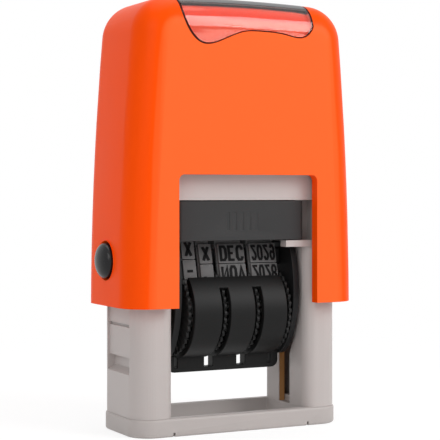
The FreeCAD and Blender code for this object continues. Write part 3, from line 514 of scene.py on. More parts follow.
@dataclass(frozen=True)
class MetalFinish:
    """Drawn steel with fine changes in its gloss."""

    name: str
    slot: str
    colour: Colour
    roughness: float = 0.28

    def material(self, groups: ShaderGroups) -> bpy.types.Material:
        """Builds the material of this finish.

        Args:
            groups: the shared shader groups.

        Returns:
            The new material.
        """
        made, wiring, shader = new_material(self.name)
        surface = wiring.group(groups.grain, Colour=(*self.colour, 1), Roughness=self.roughness)
        wiring.feed(shader, {"Base Color": surface["Colour"], "Roughness": surface["Roughness"],
                             "Metallic": 1.0})
        return made


@dataclass(frozen=True)
class FeltFinish:
    """Inked felt: matted fibres with a soft sheen."""

    name: str
    slot: str
    colour: Colour
    roughness: float = 0.8
    sheen: float = 0.2
    dry_gain: float = 2.6
    fibre_scale: float = 4200.0
    fibre_detail: float = 6.0
    fibre_roughness: float = 0.7
    bump: float = 0.6
    bump_height: float = 0.05 * MM

    def material(self, groups: ShaderGroups) -> bpy.types.Material:
        """Builds the material of this finish.

        Args:
            groups: the shared shader groups, of which felt needs none.

        Returns:
            The new material.
        """
        made, wiring, shader = new_material(self.name)
        fibres = wiring.noise(self.fibre_scale, self.fibre_detail, self.fibre_roughness)
        dry = tuple(share * self.dry_gain for share in self.colour)
        damp = wiring.mix(fibres, (*self.colour, 1), (*dry, 1))
        wiring.feed(shader, {"Base Color": damp, "Roughness": self.roughness,
                             "Sheen Weight": self.sheen,
                             "Normal": wiring.bump(fibres, self.bump, self.bump_height)})
        return made


Finish = MouldedFinish | ClearFinish | MetalFinish | FeltFinish


@dataclass
class Palette:
    """All finishes of the machine, each made into a material once."""

    # Lit and shaded copies of one orange: the paler face colour is painted light on the broad front
    # and rear, the deeper colour painted shade on the sides and corners.
    cover: MouldedFinish = MouldedFinish(
        "orange_gloss", "cover_orange", (1.0, 0.079, 0.0005), (1.0, 0.10, 0.01), roughness=0.36,
        grain=Grain.SATIN, grain_scale=2200.0, wear_and_highlight=0.6, dust=0.0, specular=0.06,
        painted_lit_face_colour=(1.0, 0.136, 0.026))
    # The frame's legs' hollows get painted orange bounce light: a brown tint and a faint glow.
    frame: MouldedFinish = MouldedFinish(
        "warm_grey", "frame_grey", (0.50, 0.455, 0.44), (0.58, 0.54, 0.525), roughness=0.42,
        grain_scale=2600.0, dust=0.05, specular=0.35, painted_bounce=(0.26, 0.15, 0.07),
        painted_bounce_glow=(0.045, 0.018, 0.004))
    foot: MouldedFinish = MouldedFinish(
        "foot_grey", "foot_grey", (0.46, 0.42, 0.405), (0.56, 0.52, 0.5), grain_scale=2600.0,
        dust=0.05, specular=0.5)
    black: MouldedFinish = MouldedFinish(
        "satin_black", "black_plastic", (0.010, 0.010, 0.0105), (0.02, 0.02, 0.021),
        roughness=0.46)
    guard: MouldedFinish = MouldedFinish(
        "guard_black", "black_plastic", (0.0085, 0.0085, 0.0085), (0.02, 0.02, 0.02),
        roughness=0.45, dust=0.01, specular=0.16)
    wheel: MouldedFinish = MouldedFinish(
        "wheel_black", "black_plastic", (0.010, 0.010, 0.010), (0.02, 0.02, 0.02))
    tray: MouldedFinish = MouldedFinish(
        "tray_black", "black_plastic", (0.034, 0.034, 0.0345), (0.05, 0.05, 0.05))
    button: MouldedFinish = MouldedFinish(
        "button_black", "black_gloss", (0.005, 0.005, 0.006), (0.012, 0.013, 0.016),
        roughness=0.24, grain=Grain.POLISHED, dust=0.05, specular=0.3)
    top: MouldedFinish = MouldedFinish(
        "top_grey", "top_grey", (0.12, 0.12, 0.122), (0.2, 0.2, 0.2), roughness=0.35,
        grain=Grain.POLISHED, dust=0.05, specular=0.3)
    # Painted shadow: a near-black strip laid in the gap round the window stands for the shade
    # there.
    seam: MouldedFinish = MouldedFinish(
        "seam_shadow", "top_grey", (0.035, 0.006, 0.003), (0.03, 0.008, 0.005), roughness=0.6,
        grain=Grain.SATIN, wear_and_highlight=0.0, dust=0.0, specular=0.1)
    # The rubber's lighter edge colour, at a high strength, paints highlights on the block edges as
    # well as their wear.
    rubber: MouldedFinish = MouldedFinish(
        "band_rubber", "band_rubber", (0.135, 0.133, 0.133), (0.26, 0.255, 0.255),
        roughness=0.62, grain_scale=1800.0, wear_and_highlight=9.0, dust=0.2, specular=0.25)
    ink: MouldedFinish = MouldedFinish(
        "inked_type", "band_rubber", (0.006, 0.006, 0.0065), (0.01, 0.01, 0.01), roughness=0.6,
        grain_scale=1800.0, wear_and_highlight=0.0, dust=0.0, specular=0.1)
    lens: ClearFinish = ClearFinish("clear_window", "clear_lens", (1.0, 0.66, 0.56))
    steel: MetalFinish = MetalFinish("drawn_steel", "steel", (0.62, 0.61, 0.6))
    felt: FeltFinish = FeltFinish("inked_felt", "ink_felt", (0.006, 0.006, 0.01))
    groups: ShaderGroups = field(default_factory=ShaderGroups)
    made: dict[str, bpy.types.Material] = field(default_factory=dict)

    def of(self, finish: Finish) -> bpy.types.Material:
        """Gives the material of a finish, building it at its first use.

        Args:
            finish: one of the palette's finishes.

        Returns:
            Its material.
        """
        if finish.name not in self.made:
            self.made[finish.name] = finish.material(self.groups)
        return self.made[finish.name]

    def dress(self, piece: bpy.types.Object, finish: Finish) -> None:
        """Puts a finish on a piece.

        Args:
            piece: the piece, or a node carried over from the construction.
            finish: one of the palette's finishes.
        """
        piece.data.materials.clear()
        piece.data.materials.append(self.of(finish))


# Surfaces


@dataclass(frozen=True)
class Surface:
    """Points in metres and the faces that join them."""

    points: Array
    faces: list[list[int]]

    def __add__(self, other: "Surface") -> "Surface":
        """Both surfaces as one, with the other's faces renumbered."""
        shift = len(self.points)
        return Surface(np.vstack([self.points, other.points]),
                       self.faces + [[number + shift for number in face] for face in other.faces])


def joined(surfaces: Sequence[Surface]) -> Surface:
    """All surfaces as one."""
    return sum(surfaces[1:], surfaces[0])


def grid_faces(rows: int, columns: int, close_rows: bool = False,
               close_columns: bool = False) -> Array:
    """Quads of a grid of points numbered row by row.

    Args:
        rows: number of rows of points.
        columns: number of points in a row.
        close_rows: joins the last row to the first.
        close_columns: joins the last column to the first.

    Returns:
        Array of four point numbers for each quad.
    """
    row = np.arange(rows if close_rows else rows - 1)
    column = np.arange(columns if close_columns else columns - 1)
    first, second = np.meshgrid(row, column, indexing="ij")
    next_row, next_column = (first + 1) % rows, (second + 1) % columns
    quads = [first * columns + second, first * columns + next_column,
             next_row * columns + next_column, next_row * columns + second]
    return np.stack(quads, axis=-1).reshape(-1, 4)


def swept(path: Array, across: Array, up: Array, profile: Array, closed: bool = False) -> Surface:
    """Carries a closed profile along a path.

    Each point is the path's point, plus the profile's first number times the across vector there,
    plus its second number times the up vector there. An open path gets a flat cap at each end.

    Args:
        path: one point for each row.
        across: vector for the profile's first number, one or one for each row.
        up: vector for the profile's second number, one or one for each row.
        profile: pairs of numbers, the same for all rows or given for each row.
        closed: joins the last row to the first.

    Returns:
        The closed surface.
    """
    rows, columns = len(path), profile.shape[-2]
    profile = np.broadcast_to(profile, (rows, columns, 2))
    across, up = np.broadcast_to(across, (rows, 3)), np.broadcast_to(up, (rows, 3))
    points = path[:, None] + profile[..., :1] * across[:, None] + profile[..., 1:] * up[:, None]
    faces = grid_faces(rows, columns, closed, True).tolist()
    if not closed:
        faces += [list(range(columns))[::-1], list(range((rows - 1) * columns, rows * columns))]
    return Surface(points.reshape(-1, 3), faces)


def rounded_rectangle(low: tuple[float, float], high: tuple[float, float], radius: float,
                      steps: int = 3) -> Array:
    """Closed outline of a rectangle: a quarter circle of the radius at each corner in turn.

    Args:
        low: its lowest corner.
        high: its highest corner.
        radius: radius of the corners.
        steps: points on each corner.

    Returns:
        Pairs of numbers round the outline.
    """
    turn = np.linspace(0, QUARTER, steps)
    arcs = []
    for quarter, (side, level) in enumerate(((1, 1), (0, 1), (0, 0), (1, 0))):
        angle = turn + quarter * QUARTER
        centre = (high[0] - radius if side else low[0] + radius,
                  high[1] - radius if level else low[1] + radius)
        arcs.append(np.column_stack([centre[0] + radius * np.cos(angle),
                                     centre[1] + radius * np.sin(angle)]))
    return np.vstack(arcs)


def turned(profile: Array, height: float, count: int = ROUND_STEPS,
           ripple: Callable[[Array], Array] | None = None,
           rippled: Array | None = None) -> Surface:
    """Turns a closed profile of places along X and radii about the line at Y zero and a height.

    A point is its place along X, and its radius times the cosine of the angle along Y and times
    the sine along Z. With a ripple, the radius falls by the ripple at that angle times the
    point's share.

    Args:
        profile: rows of place along X and radius.
        height: height of the axis.
        count: steps round the axis.
        ripple: gives the drop in radius at each angle.
        rippled: how much of the ripple each point of the profile takes.

    Returns:
        The closed surface.
    """
    angle = np.arange(count) * 2 * math.pi / count
    rows = np.repeat(profile[None], count, axis=0)
    if ripple is not None:
        rows[..., 1] -= ripple(angle)[:, None] * rippled[None]
    radial = np.column_stack([np.zeros(count), np.cos(angle), np.sin(angle)])
    return swept(np.repeat(height * Z_AXIS[None], count, axis=0), X_AXIS, radial, rows, True)


def bar(low: Sequence[float], high: Sequence[float], radius: float) -> Surface:
    """Bar between two corners: a rounded rectangle carried along X.

    Args:
        low: its lowest corner.
        high: its highest corner.
        radius: radius of its four long edges.

    Returns:
        The closed surface.
    """
    path = np.array([(low[0], 0.0, 0.0), (high[0], 0.0, 0.0)])
    outline = rounded_rectangle((low[1], low[2]), (high[1], high[2]), radius)
    return swept(path, Y_AXIS, Z_AXIS, outline)


def place_object(name: str, data: bpy.types.ID) -> bpy.types.Object:
    """Makes an object.

    Args:
        name: name of the object.
        data: its mesh, lamp or camera.

    Returns:
        The object, linked to the scene.
    """
    made = bpy.data.objects.new(name, data)
    bpy.context.scene.collection.objects.link(made)
    return made


def smooth_by_angle(mesh: bpy.types.Mesh, angle: float) -> None:
    """Shades a mesh smooth, with sharp edges kept above the angle in degrees."""
    mesh.polygons.foreach_set("use_smooth", np.ones(len(mesh.polygons), dtype=bool))
    mesh.set_sharp_from_angle(angle=math.radians(angle))


def make_piece(name: str, surface: Surface, smooth_angle: float = 40.0,
               closed: bool = True) -> bpy.types.Object:
    """Makes a mesh piece from a surface, with its faces pointing outwards.

    Args:
        name: name of the piece.
        surface: its points and faces.
        smooth_angle: edges sharper than this many degrees stay sharp.
        closed: False keeps the faces as they are wound, for a sheet that gets its wall later.

    Returns:
        The new object, linked to the scene.
    """
    mesh = bpy.data.meshes.new(name)
    mesh.from_pydata(surface.points.tolist(), [], surface.faces)
    piece = place_object(name, mesh)
    shape = bmesh.new()
    shape.from_mesh(mesh)
    bmesh.ops.remove_doubles(shape, verts=shape.verts, dist=MERGE_GAP)
    bmesh.ops.dissolve_degenerate(shape, edges=shape.edges, dist=SLIVER_LENGTH)
    if closed:
        bmesh.ops.recalc_face_normals(shape, faces=shape.faces)
    shape.to_mesh(mesh)
    shape.free()
    smooth_by_angle(mesh, smooth_angle)
    return piece


def add_wall(piece: bpy.types.Object, thickness: float, offset: float = -1.0,
             even: bool = False) -> None:
    """Gives a sheet its wall.

    Args:
        piece: the sheet.
        thickness: thickness of the wall.
        offset: -1 puts the wall inside the sheet, 0 on both sides of it.
        even: keeps the thickness round corners.
    """
    wall = piece.modifiers.new("wall", "SOLIDIFY")
    wall.thickness = thickness
    wall.offset = offset
    wall.use_even_offset = even


def round_edges(piece: bpy.types.Object, width: float, segments: int = 2,
                angle: float = 32.0) -> bpy.types.Object:
    """Rounds a piece's sharp edges.

    Args:
        piece: the piece.
        width: width of the rounding in metres.
        segments: steps across the rounding.
        angle: smallest edge angle in degrees that is rounded.

    Returns:
        The same piece.
    """
    rounding = piece.modifiers.new("rounding", "BEVEL")
    rounding.width = width
    rounding.segments = segments
    rounding.limit_method = "ANGLE"
    rounding.angle_limit = math.radians(angle)
    rounding.harden_normals = True
    rounding.use_clamp_overlap = True
    return piece


def read_points(mesh: bpy.types.Mesh) -> Array:
    """Reads all points of a mesh.

    Args:
        mesh: the mesh.

    Returns:
        Rows of x, y and z.
    """
    points = np.empty(len(mesh.vertices) * 3)
    mesh.vertices.foreach_get("co", points)
    return points.reshape(-1, 3)


def softened_copy(node: str, name: str, width: float, segments: int = 2, angle: float = 32.0,
                  shrink: float = 0.0,
                  reshape: Callable[[Array], Array] | None = None) -> bpy.types.Object:
    """Copies a construction node and rounds its moulded edges.

    The copy's loose triangles are merged and its flat faces joined before the rounding.

    Args:
        node: node of the construction.
        name: name of the new piece.
        width: width of the rounding in metres.
        segments: steps across the rounding.
        angle: smallest edge angle in degrees that is rounded.
        shrink: how far every point moves inwards along its normal.
        reshape: gives the new places of all points.

    Returns:
        The new piece, which replaces the node.
    """
    mesh = frame["nodes"][node].data.copy()
    mesh.name = name
    shape = bmesh.new()
    shape.from_mesh(mesh)
    bmesh.ops.remove_doubles(shape, verts=shape.verts, dist=NODE_MERGE_GAP)
    bmesh.ops.dissolve_limit(shape, angle_limit=FLAT_ANGLE, verts=shape.verts,
                             edges=shape.edges)
    shape.to_mesh(mesh)
    shape.free()
    normals = np.empty(len(mesh.vertices) * 3)
    mesh.vertex_normals.foreach_get("vector", normals)
    points = read_points(mesh) - normals.reshape(-1, 3) * shrink
    if reshape is not None:
        points = reshape(points)
    mesh.vertices.foreach_set("co", points.ravel())
    mesh.update()
    piece = place_object(name, mesh)
    smooth_by_angle(mesh, angle)
    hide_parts(node)
    return round_edges(piece, width, segments, angle)


def finish_piece(piece: bpy.types.Object, body: str, palette: Palette, finish: Finish) -> None:
    """Dresses a piece, puts it on its body and reports it.

    Args:
        piece: the piece.
        body: the body that it moves with.
        palette: the finishes' materials.
        finish: the finish that it gets.
    """
    palette.dress(piece, finish)
    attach(piece, body)
    LOG.info("%s rides on %s", piece.name, body)


# Sub-assemblies


@dataclass
class Housing:
    """The grey frame and the foot ring that it stands on."""

    edge: float = 0.3 * MM
    foot_edge: float = 0.15 * MM

    def build(self, palette: Palette) -> None:
        """Builds both pieces on the frame body."""
        finish_piece(softened_copy("frame", "frame_moulding", self.edge, 3), "frame", palette,
                     palette.frame)
        finish_piece(softened_copy("foot_ring", "foot_moulding", self.foot_edge), "frame", palette,
                     palette.foot)


@dataclass
class Cover:
    """The orange cover: window, painted shadow strips, top plate, yoke, return spring, button
    bushes.
    """

    edge: float = 0.4 * MM
    window_edge: float = 0.2 * MM
    window_play: float = 0.06 * MM
    top: float = 86.0 * MM
    crown_rise: float = 0.6 * MM
    crown_half: float = 22.5 * MM
    half_depth: float = 12.5 * MM
    edge_round: float = 6.0 * MM
    plate_half: float = 14.3 * MM
    plate_reach: float = 35.0
    plate_thickness: float = 0.9 * MM
    plate_proud: float = 0.03 * MM
    plate_edge: float = 0.1 * MM
    plate_columns: int = 25
    plate_level_steps: int = 5
    plate_bend_steps: int = 9
    seam_places: tuple[float, float, float] = (0.0, 0.2, 0.35)
    seam_widths: tuple[float, float, float] = (0.4 * MM, 0.4 * MM, 0.17 * MM)
    seam_proud: float = 0.04 * MM
    seam_depth: float = 0.5 * MM
    seam_play: float = 0.02 * MM
    seam_slack: float = 0.06 * MM
    seam_sweeps: int = 16
    seam_steps: int = 81
    seam_end_steps: int = 15
    seam_end_share: float = 0.05
    bush_play: float = 0.05 * MM
    bush_sink: float = 0.3 * MM
    bush_rim: float = 0.12 * MM
    bush_dish: float = 0.9 * MM
    spring_radius: float = 5.5 * MM
    spring_turns: int = 8
    spring_steps: int = 40
    spring_low: float = 48.1 * MM
    spring_high: float = 78.0 * MM
    spring_seat: float = 78.5 * MM
    wire_radius: float = 0.45 * MM
    wire_steps: int = 12
    travel: float = 20.0 * MM

    def build(self, palette: Palette) -> None:
        """Builds the pieces that go down with the cover.

        Args:
            palette: the finishes' materials.
        """
        pieces = (("cover_shell", "cover_moulding", palette.cover, self.edge, 0.0),
                  ("index_lens", "window_moulding", palette.lens, self.window_edge,
                   self.window_play),
                  ("yoke", "yoke_moulding", palette.cover, self.edge, 0.0))
        for node, name, finish, edge, play in pieces:
            finish_piece(softened_copy(node, name, edge, 3, shrink=play), "cover", palette, finish)
        finish_piece(self.top_plate(), "cover", palette, palette.top)
        # Painted shadow: dark strips round both skirts of the window.
        for front in (-1, 1):
            finish_piece(self.seam(front), "cover", palette, palette.seam)
        for side in Side:
            finish_piece(self.bush(side), "cover", palette, palette.cover)
        spring = self.spring()
        finish_piece(spring, "cover", palette, palette.steel)
        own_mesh(spring)

    def crown(self, x: Array) -> Array:
        """Height of the roof at an X: an arc over the cover's width."""
        radius = (self.crown_half ** 2 + self.crown_rise ** 2) / (2 * self.crown_rise)
        return self.top - radius + np.sqrt(radius ** 2 - x ** 2)

    def edge_sine(self, x: Array, z: Array) -> Array:
        """Upward part of the front's normal at a point: 0 on the flat face, 1 at the roof."""
        return np.clip((z - self.crown(x) + self.edge_round) / self.edge_round, 0, 1)

    def reach(self, x: Array, z: Array) -> Array:
        """How far the cover's front stands out at a point: the flat face, or the edge rounding."""
        return self.half_depth - self.edge_round * (1 - np.sqrt(1 - self.edge_sine(x, z) ** 2))

    def top_plate(self) -> bpy.types.Object:
        """Dark plate on the window's top, which bends down over its front and rear edge.

        It follows the roof: level up to the edge rounding, then an arc. At an angle from the
        upright, a point stands the rounding's radius times the sine further out and times one
        less the cosine lower. The sheet stands a little proud and gets its wall inwards.

        Returns:
            The plate, which replaces its node.
        """
        bend = np.radians(np.linspace(0, self.plate_reach, self.plate_bend_steps))
        flat = self.half_depth - self.edge_round
        level = np.linspace(0, flat, self.plate_level_steps + 1)[:-1]
        out = np.concatenate([level, flat + self.edge_round * np.sin(bend)])
        drop = np.concatenate([0 * level, self.edge_round * (1 - np.cos(bend))])
        depth = np.concatenate([-out[:0:-1], out])
        low = np.concatenate([drop[:0:-1], drop])
        width = np.linspace(-self.plate_half, self.plate_half, self.plate_columns)
        x, y = np.meshgrid(width, depth, indexing="ij")
        points = np.stack([x, y, self.crown(x) - low[None] + self.plate_proud], axis=-1)
        faces = grid_faces(*x.shape)[:, ::-1].tolist()
        piece = make_piece("top_plate_moulding", Surface(points.reshape(-1, 3), faces),
                           SHEET_SMOOTH, closed=False)
        add_wall(piece, self.plate_thickness)
        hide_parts("top_plate")
        return round_edges(piece, self.plate_edge)

    def window_outline(self, front: int) -> tuple[Array, Array]:
        """Outline of one skirt of the window, up its left end, along its wave and up its right.

        The wave is the lower edge of the window's outer face, where points that stand above the
        chord of their neighbours are dropped, which takes several sweeps.

        Args:
            front: -1 for the front skirt, 1 for the rear one.

        Returns:
            The outline's X and Z.
        """
        points = read_points(frame["nodes"]["index_lens"].data)
        gap = np.abs(points[:, 1] * front - self.reach(points[:, 0], points[:, 2]))
        on_face = (gap < self.seam_play) & (points[:, 2] < self.top - self.plate_thickness)
        edge = points[on_face][:, [0, 2]]
        edge = edge[np.lexsort((edge[:, 1], edge[:, 0].round(5)))]
        edge = edge[np.unique(edge[:, 0].round(5), return_index=True)[1]]
        for _ in range(self.seam_sweeps):
            span = (edge[1:-1, 0] - edge[:-2, 0]) / (edge[2:, 0] - edge[:-2, 0])
            chord = edge[:-2, 1] + (edge[2:, 1] - edge[:-2, 1]) * span
            low = np.concatenate([[True], edge[1:-1, 1] < chord + self.seam_slack, [True]])
            edge = edge[low]
        half = edge[-1, 0]
        x = np.linspace(-half, half, self.seam_steps)
        z = np.interp(x, edge[:, 0], edge[:, 1])
        rise = np.linspace(0, 1, self.seam_end_steps + 1)[1:]
        top = float(self.crown(half)) - self.seam_end_share * self.edge_round
        end = np.full(self.seam_end_steps, half)
        return (np.concatenate([-end, x, end]),
                np.concatenate([(z[0] + (top - z[0]) * rise)[::-1], z,
                                z[-1] + (top - z[-1]) * rise]))

    def seam(self, front: int) -> bpy.types.Object:
        """Painted shadow round one skirt of the window: a dark strip, a small rectangle carried
        along its outline.

        On the edge rounding a point at a height stands as far out as the circle is there. The
        strip is widest at the left end, where the painted shade in the gap is widest.

        Args:
            front: -1 for the front skirt, 1 for the rear one.

        Returns:
            The seam.
        """
        x, z = self.window_outline(front)
        path = np.column_stack([x, front * self.reach(x, z), z])
        sine = self.edge_sine(x, z)
        normal = np.column_stack([np.zeros(len(x)), front * np.sqrt(1 - sine ** 2), sine])
        way = np.gradient(path, axis=0)
        across = np.cross(way / np.linalg.norm(way, axis=1)[:, None], normal)
        share = np.linspace(0, 1, len(x))
        half_width = np.interp(share, self.seam_places, self.seam_widths)[:, None] / 2
        section = np.array([(-1.0, -self.seam_depth), (1.0, -self.seam_depth),
                            (1.0, self.seam_proud), (-1.0, self.seam_proud)])
        section = np.repeat(section[None], len(x), axis=0)
        section[..., 0] *= half_width
        name = "window_painted_shadow_front" if front < 0 else "window_painted_shadow_rear"
        return make_piece(name, swept(path, across, normal, section))

    def bush(self, side: Side) -> bpy.types.Object:
        """Round bush of a lock button, turned: flush with the cover and dished towards the bore.

        Args:
            side: the side that it stands on.

        Returns:
            The bush, which replaces its node.
        """
        low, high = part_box("lock_bush_" + side.word)
        inside, outside = sorted((abs(low.x), abs(high.x)))
        outer, inner = (high.z - low.z) / 2, LockButtons.radius + self.bush_play
        face = outside - self.bush_sink
        profile = np.array([(inside, inner), (inside, outer), (face, outer),
                            (face, outer - self.bush_rim), (face - self.bush_dish, inner)])
        profile[:, 0] *= side.value
        piece = make_piece("bush_" + side.word, turned(profile, (low.z + high.z) / 2))
        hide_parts("lock_bush_" + side.word)
        return piece

    def spring(self) -> bpy.types.Object:
        """Return spring: the wire's circle carried along a helix.

        The helix turns evenly. It rises by one wire in its first and its last turn, which lie
        flat, and evenly in the turns between.

        Returns:
            The spring, which replaces its node.
        """
        turns = np.linspace(0, self.spring_turns, self.spring_turns * self.spring_steps + 1)
        wire = 2 * self.wire_radius
        height = np.interp(turns, (0, 1, self.spring_turns - 1, self.spring_turns),
                           (self.spring_low, self.spring_low + wire, self.spring_high - wire,
                            self.spring_high))
        angle = turns * 2 * math.pi
        outward = np.column_stack([np.cos(angle), np.sin(angle), np.zeros(len(angle))])
        path = outward * self.spring_radius + height[:, None] * Z_AXIS
        around = np.arange(self.wire_steps) * 2 * math.pi / self.wire_steps
        circle = self.wire_radius * np.column_stack([np.cos(around), np.sin(around)])
        piece = make_piece("spring_wire", swept(path, outward, Z_AXIS, circle))
        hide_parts("return_spring")
        return piece


@dataclass
class LockButtons:
    """The domed lock buttons in the cover's sides, each with its neck, stop flange and tooth."""

    radius: float = 3.5 * MM
    dome: float = 1.7 * MM
    dome_steps: int = 14
    rim: float = 0.12 * MM
    barrel_start: float = 24.15 * MM
    height: float = 34.1 * MM
    flange_gap: float = 0.3 * MM
    flange_thickness: float = 0.5 * MM
    flange_half_width: float = 4.6 * MM
    flange_half_height: float = 1.0 * MM
    neck_half: float = 2.8 * MM
    tooth_half: float = 4.0 * MM
    bar_half: float = 0.9 * MM
    lap: float = 0.1 * MM

    def build(self, palette: Palette) -> None:
        """Builds each button on its own body."""
        for side in Side:
            finish_piece(self.button(side), "button_" + side.word, palette, palette.button)

    def button(self, side: Side) -> bpy.types.Object:
        """One button, with all places counted outwards from the middle of the machine.

        The dome is half an ellipse: its rise falls with the root of one less the squared share of
        the radius.

        Args:
            side: the side that it stands on.

        Returns:
            The button, which replaces its node.
        """
        low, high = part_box("lock_button_" + side.word)
        tip, top = sorted((abs(low.x), abs(high.x)))
        turn = np.linspace(0, QUARTER, self.dome_steps)
        arc = np.column_stack([top - self.dome + self.dome * np.sin(turn),
                               self.radius * np.cos(turn).round(9)])
        start = [(self.barrel_start, 0.0), (self.barrel_start, self.radius - self.rim),
                 (self.barrel_start + self.rim, self.radius)]
        flange_end = self.barrel_start - self.flange_gap
        flange_start = flange_end - self.flange_thickness
        bars = ((tip, flange_start + self.lap, self.tooth_half, self.bar_half),
                (flange_start, flange_end, self.flange_half_width, self.flange_half_height),
                (flange_end - self.lap, self.barrel_start + self.lap, self.neck_half,
                 self.bar_half))
        made = joined([turned(np.vstack([start, arc]), self.height)] + [
            bar((first, -wide, self.height - tall), (last, wide, self.height + tall), self.rim)
            for first, last, wide, tall in bars])
        made.points[:, 0] *= side.value
        piece = make_piece("button_" + side.word, made)
        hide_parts("lock_button_" + side.word)
        return piece


@dataclass
class InkCartridge:
    """The ink tray with its faint grip ribs, and its felt."""

    edge: float = 0.2 * MM
    rib_depth: float = 0.5 * MM
    rib_share: float = 0.18
    rib_half_width: float = 4.5 * MM

    def build(self, palette: Palette) -> None:
        """Builds the tray and the felt on the cartridge body.

        Args:
            palette: the finishes' materials.
        """
        tray = softened_copy("ink_tray", "tray_moulding", self.edge, reshape=self.faint_ribs)
        finish_piece(tray, "cartridge", palette, palette.tray)
        finish_piece(softened_copy("ink_felt", "felt_pad", self.edge), "cartridge", palette,
                     palette.felt)

    def faint_ribs(self, points: Array) -> Array:
        """Fills the grip grooves: points just behind the front keep a share of their depth.

        Args:
            points: points of the tray.

        Returns:
            The same points, moved.
        """
        front = points[:, 1].min()
        depth = points[:, 1] - front
        groove = (np.abs(points[:, 0]) < self.rib_half_width) & (depth < self.rib_depth)
        points[groove, 1] = front + depth[groove] * self.rib_share
        return points


# Raised type


@dataclass(frozen=True)
class Glyph:
    """One character, drawn in a cell of 100 by 100: lines of x,y points, with a bar between."""

    drawing: str

    @property
    def lines(self) -> list[Array]:
        """Its lines in a square of side 1; a line whose last point is its first closes."""
        return [np.array([point.split(",") for point in line.split()], dtype=float) / 100
                for line in self.drawing.split("|")]


BOWL = "25,0 75,0 100,20 100,80 75,100 25,100 0,80 0,20 25,0"
HOOK = "100,76 100,86 75,100 25,100 0,82 0,18 25,0 75,0 100,14 100,26"
SNAKE = "100,80 75,100 25,100 0,85 0,66 25,53 75,47 100,34 100,15 75,0 25,0 0,20"
GLYPHS = {
    "A": Glyph("0,0 50,100 100,0|20,30 80,30"),
    "B": Glyph("0,0 0,100 75,100 100,86 100,66 75,52|0,52 75,52 100,38 100,15 75,0 0,0"),
    "C": Glyph(HOOK),
    "D": Glyph("0,0 0,100 70,100 100,80 100,20 70,0 0,0"),
    "E": Glyph("100,100 0,100 0,0 100,0|0,50 75,50"),
    "F": Glyph("100,100 0,100 0,0|0,52 75,52"),
    "G": Glyph(HOOK + " 100,45 60,45"),
    "J": Glyph("100,100 100,20 75,0 25,0 0,20 0,35"),
    "L": Glyph("0,100 0,0 100,0"),
    "M": Glyph("0,0 0,100 50,35 100,100 100,0"),
    "N": Glyph("0,0 0,100 100,0 100,100"),
    "O": Glyph(BOWL),
    "P": Glyph("0,0 0,100 75,100 100,86 100,60 75,45 0,45"),
    "R": Glyph("0,0 0,100 75,100 100,86 100,62 75,48 0,48|50,48 100,0"),
    "S": Glyph(SNAKE),
    "T": Glyph("0,100 100,100|50,100 50,0"),
    "U": Glyph("0,100 0,20 25,0 75,0 100,20 100,100"),
    "V": Glyph("0,100 50,0 100,100"),
    "X": Glyph("0,0 100,100|0,100 100,0"),
    "Y": Glyph("0,100 50,50 100,100|50,50 50,0"),
    "0": Glyph(BOWL),
    "1": Glyph("15,75 50,100 50,0"),
    "2": Glyph("0,78 25,100 75,100 100,80 100,60 0,0 100,0"),
    "3": Glyph("0,82 25,100 75,100 100,84 100,66 75,53 35,53|75,53 100,38 100,17 75,0 25,0 0,18"),
    "4": Glyph("72,0 72,100 0,30 100,30"),
    "5": Glyph("100,100 8,100 0,55 70,60 100,42 100,18 75,0 25,0 0,15"),
    "6": Glyph("95,85 75,100 25,100 0,80 0,20 25,0 75,0 100,20 100,40 75,57 10,50"),
    "7": Glyph("0,100 100,100 40,0"),
    "8": Glyph("25,52 0,66 0,86 25,100 75,100 100,86 100,66 75,52 100,38 100,15 75,0 25,0 0,15 "
               "0,38 25,52|25,52 75,52"),
    "9": Glyph("5,15 25,0 75,0 100,20 100,80 75,100 25,100 0,80 0,60 25,43 90,50"),
    "-": Glyph("0,62 100,62"),
    "_": Glyph("0,70 0,88 100,88"),
}


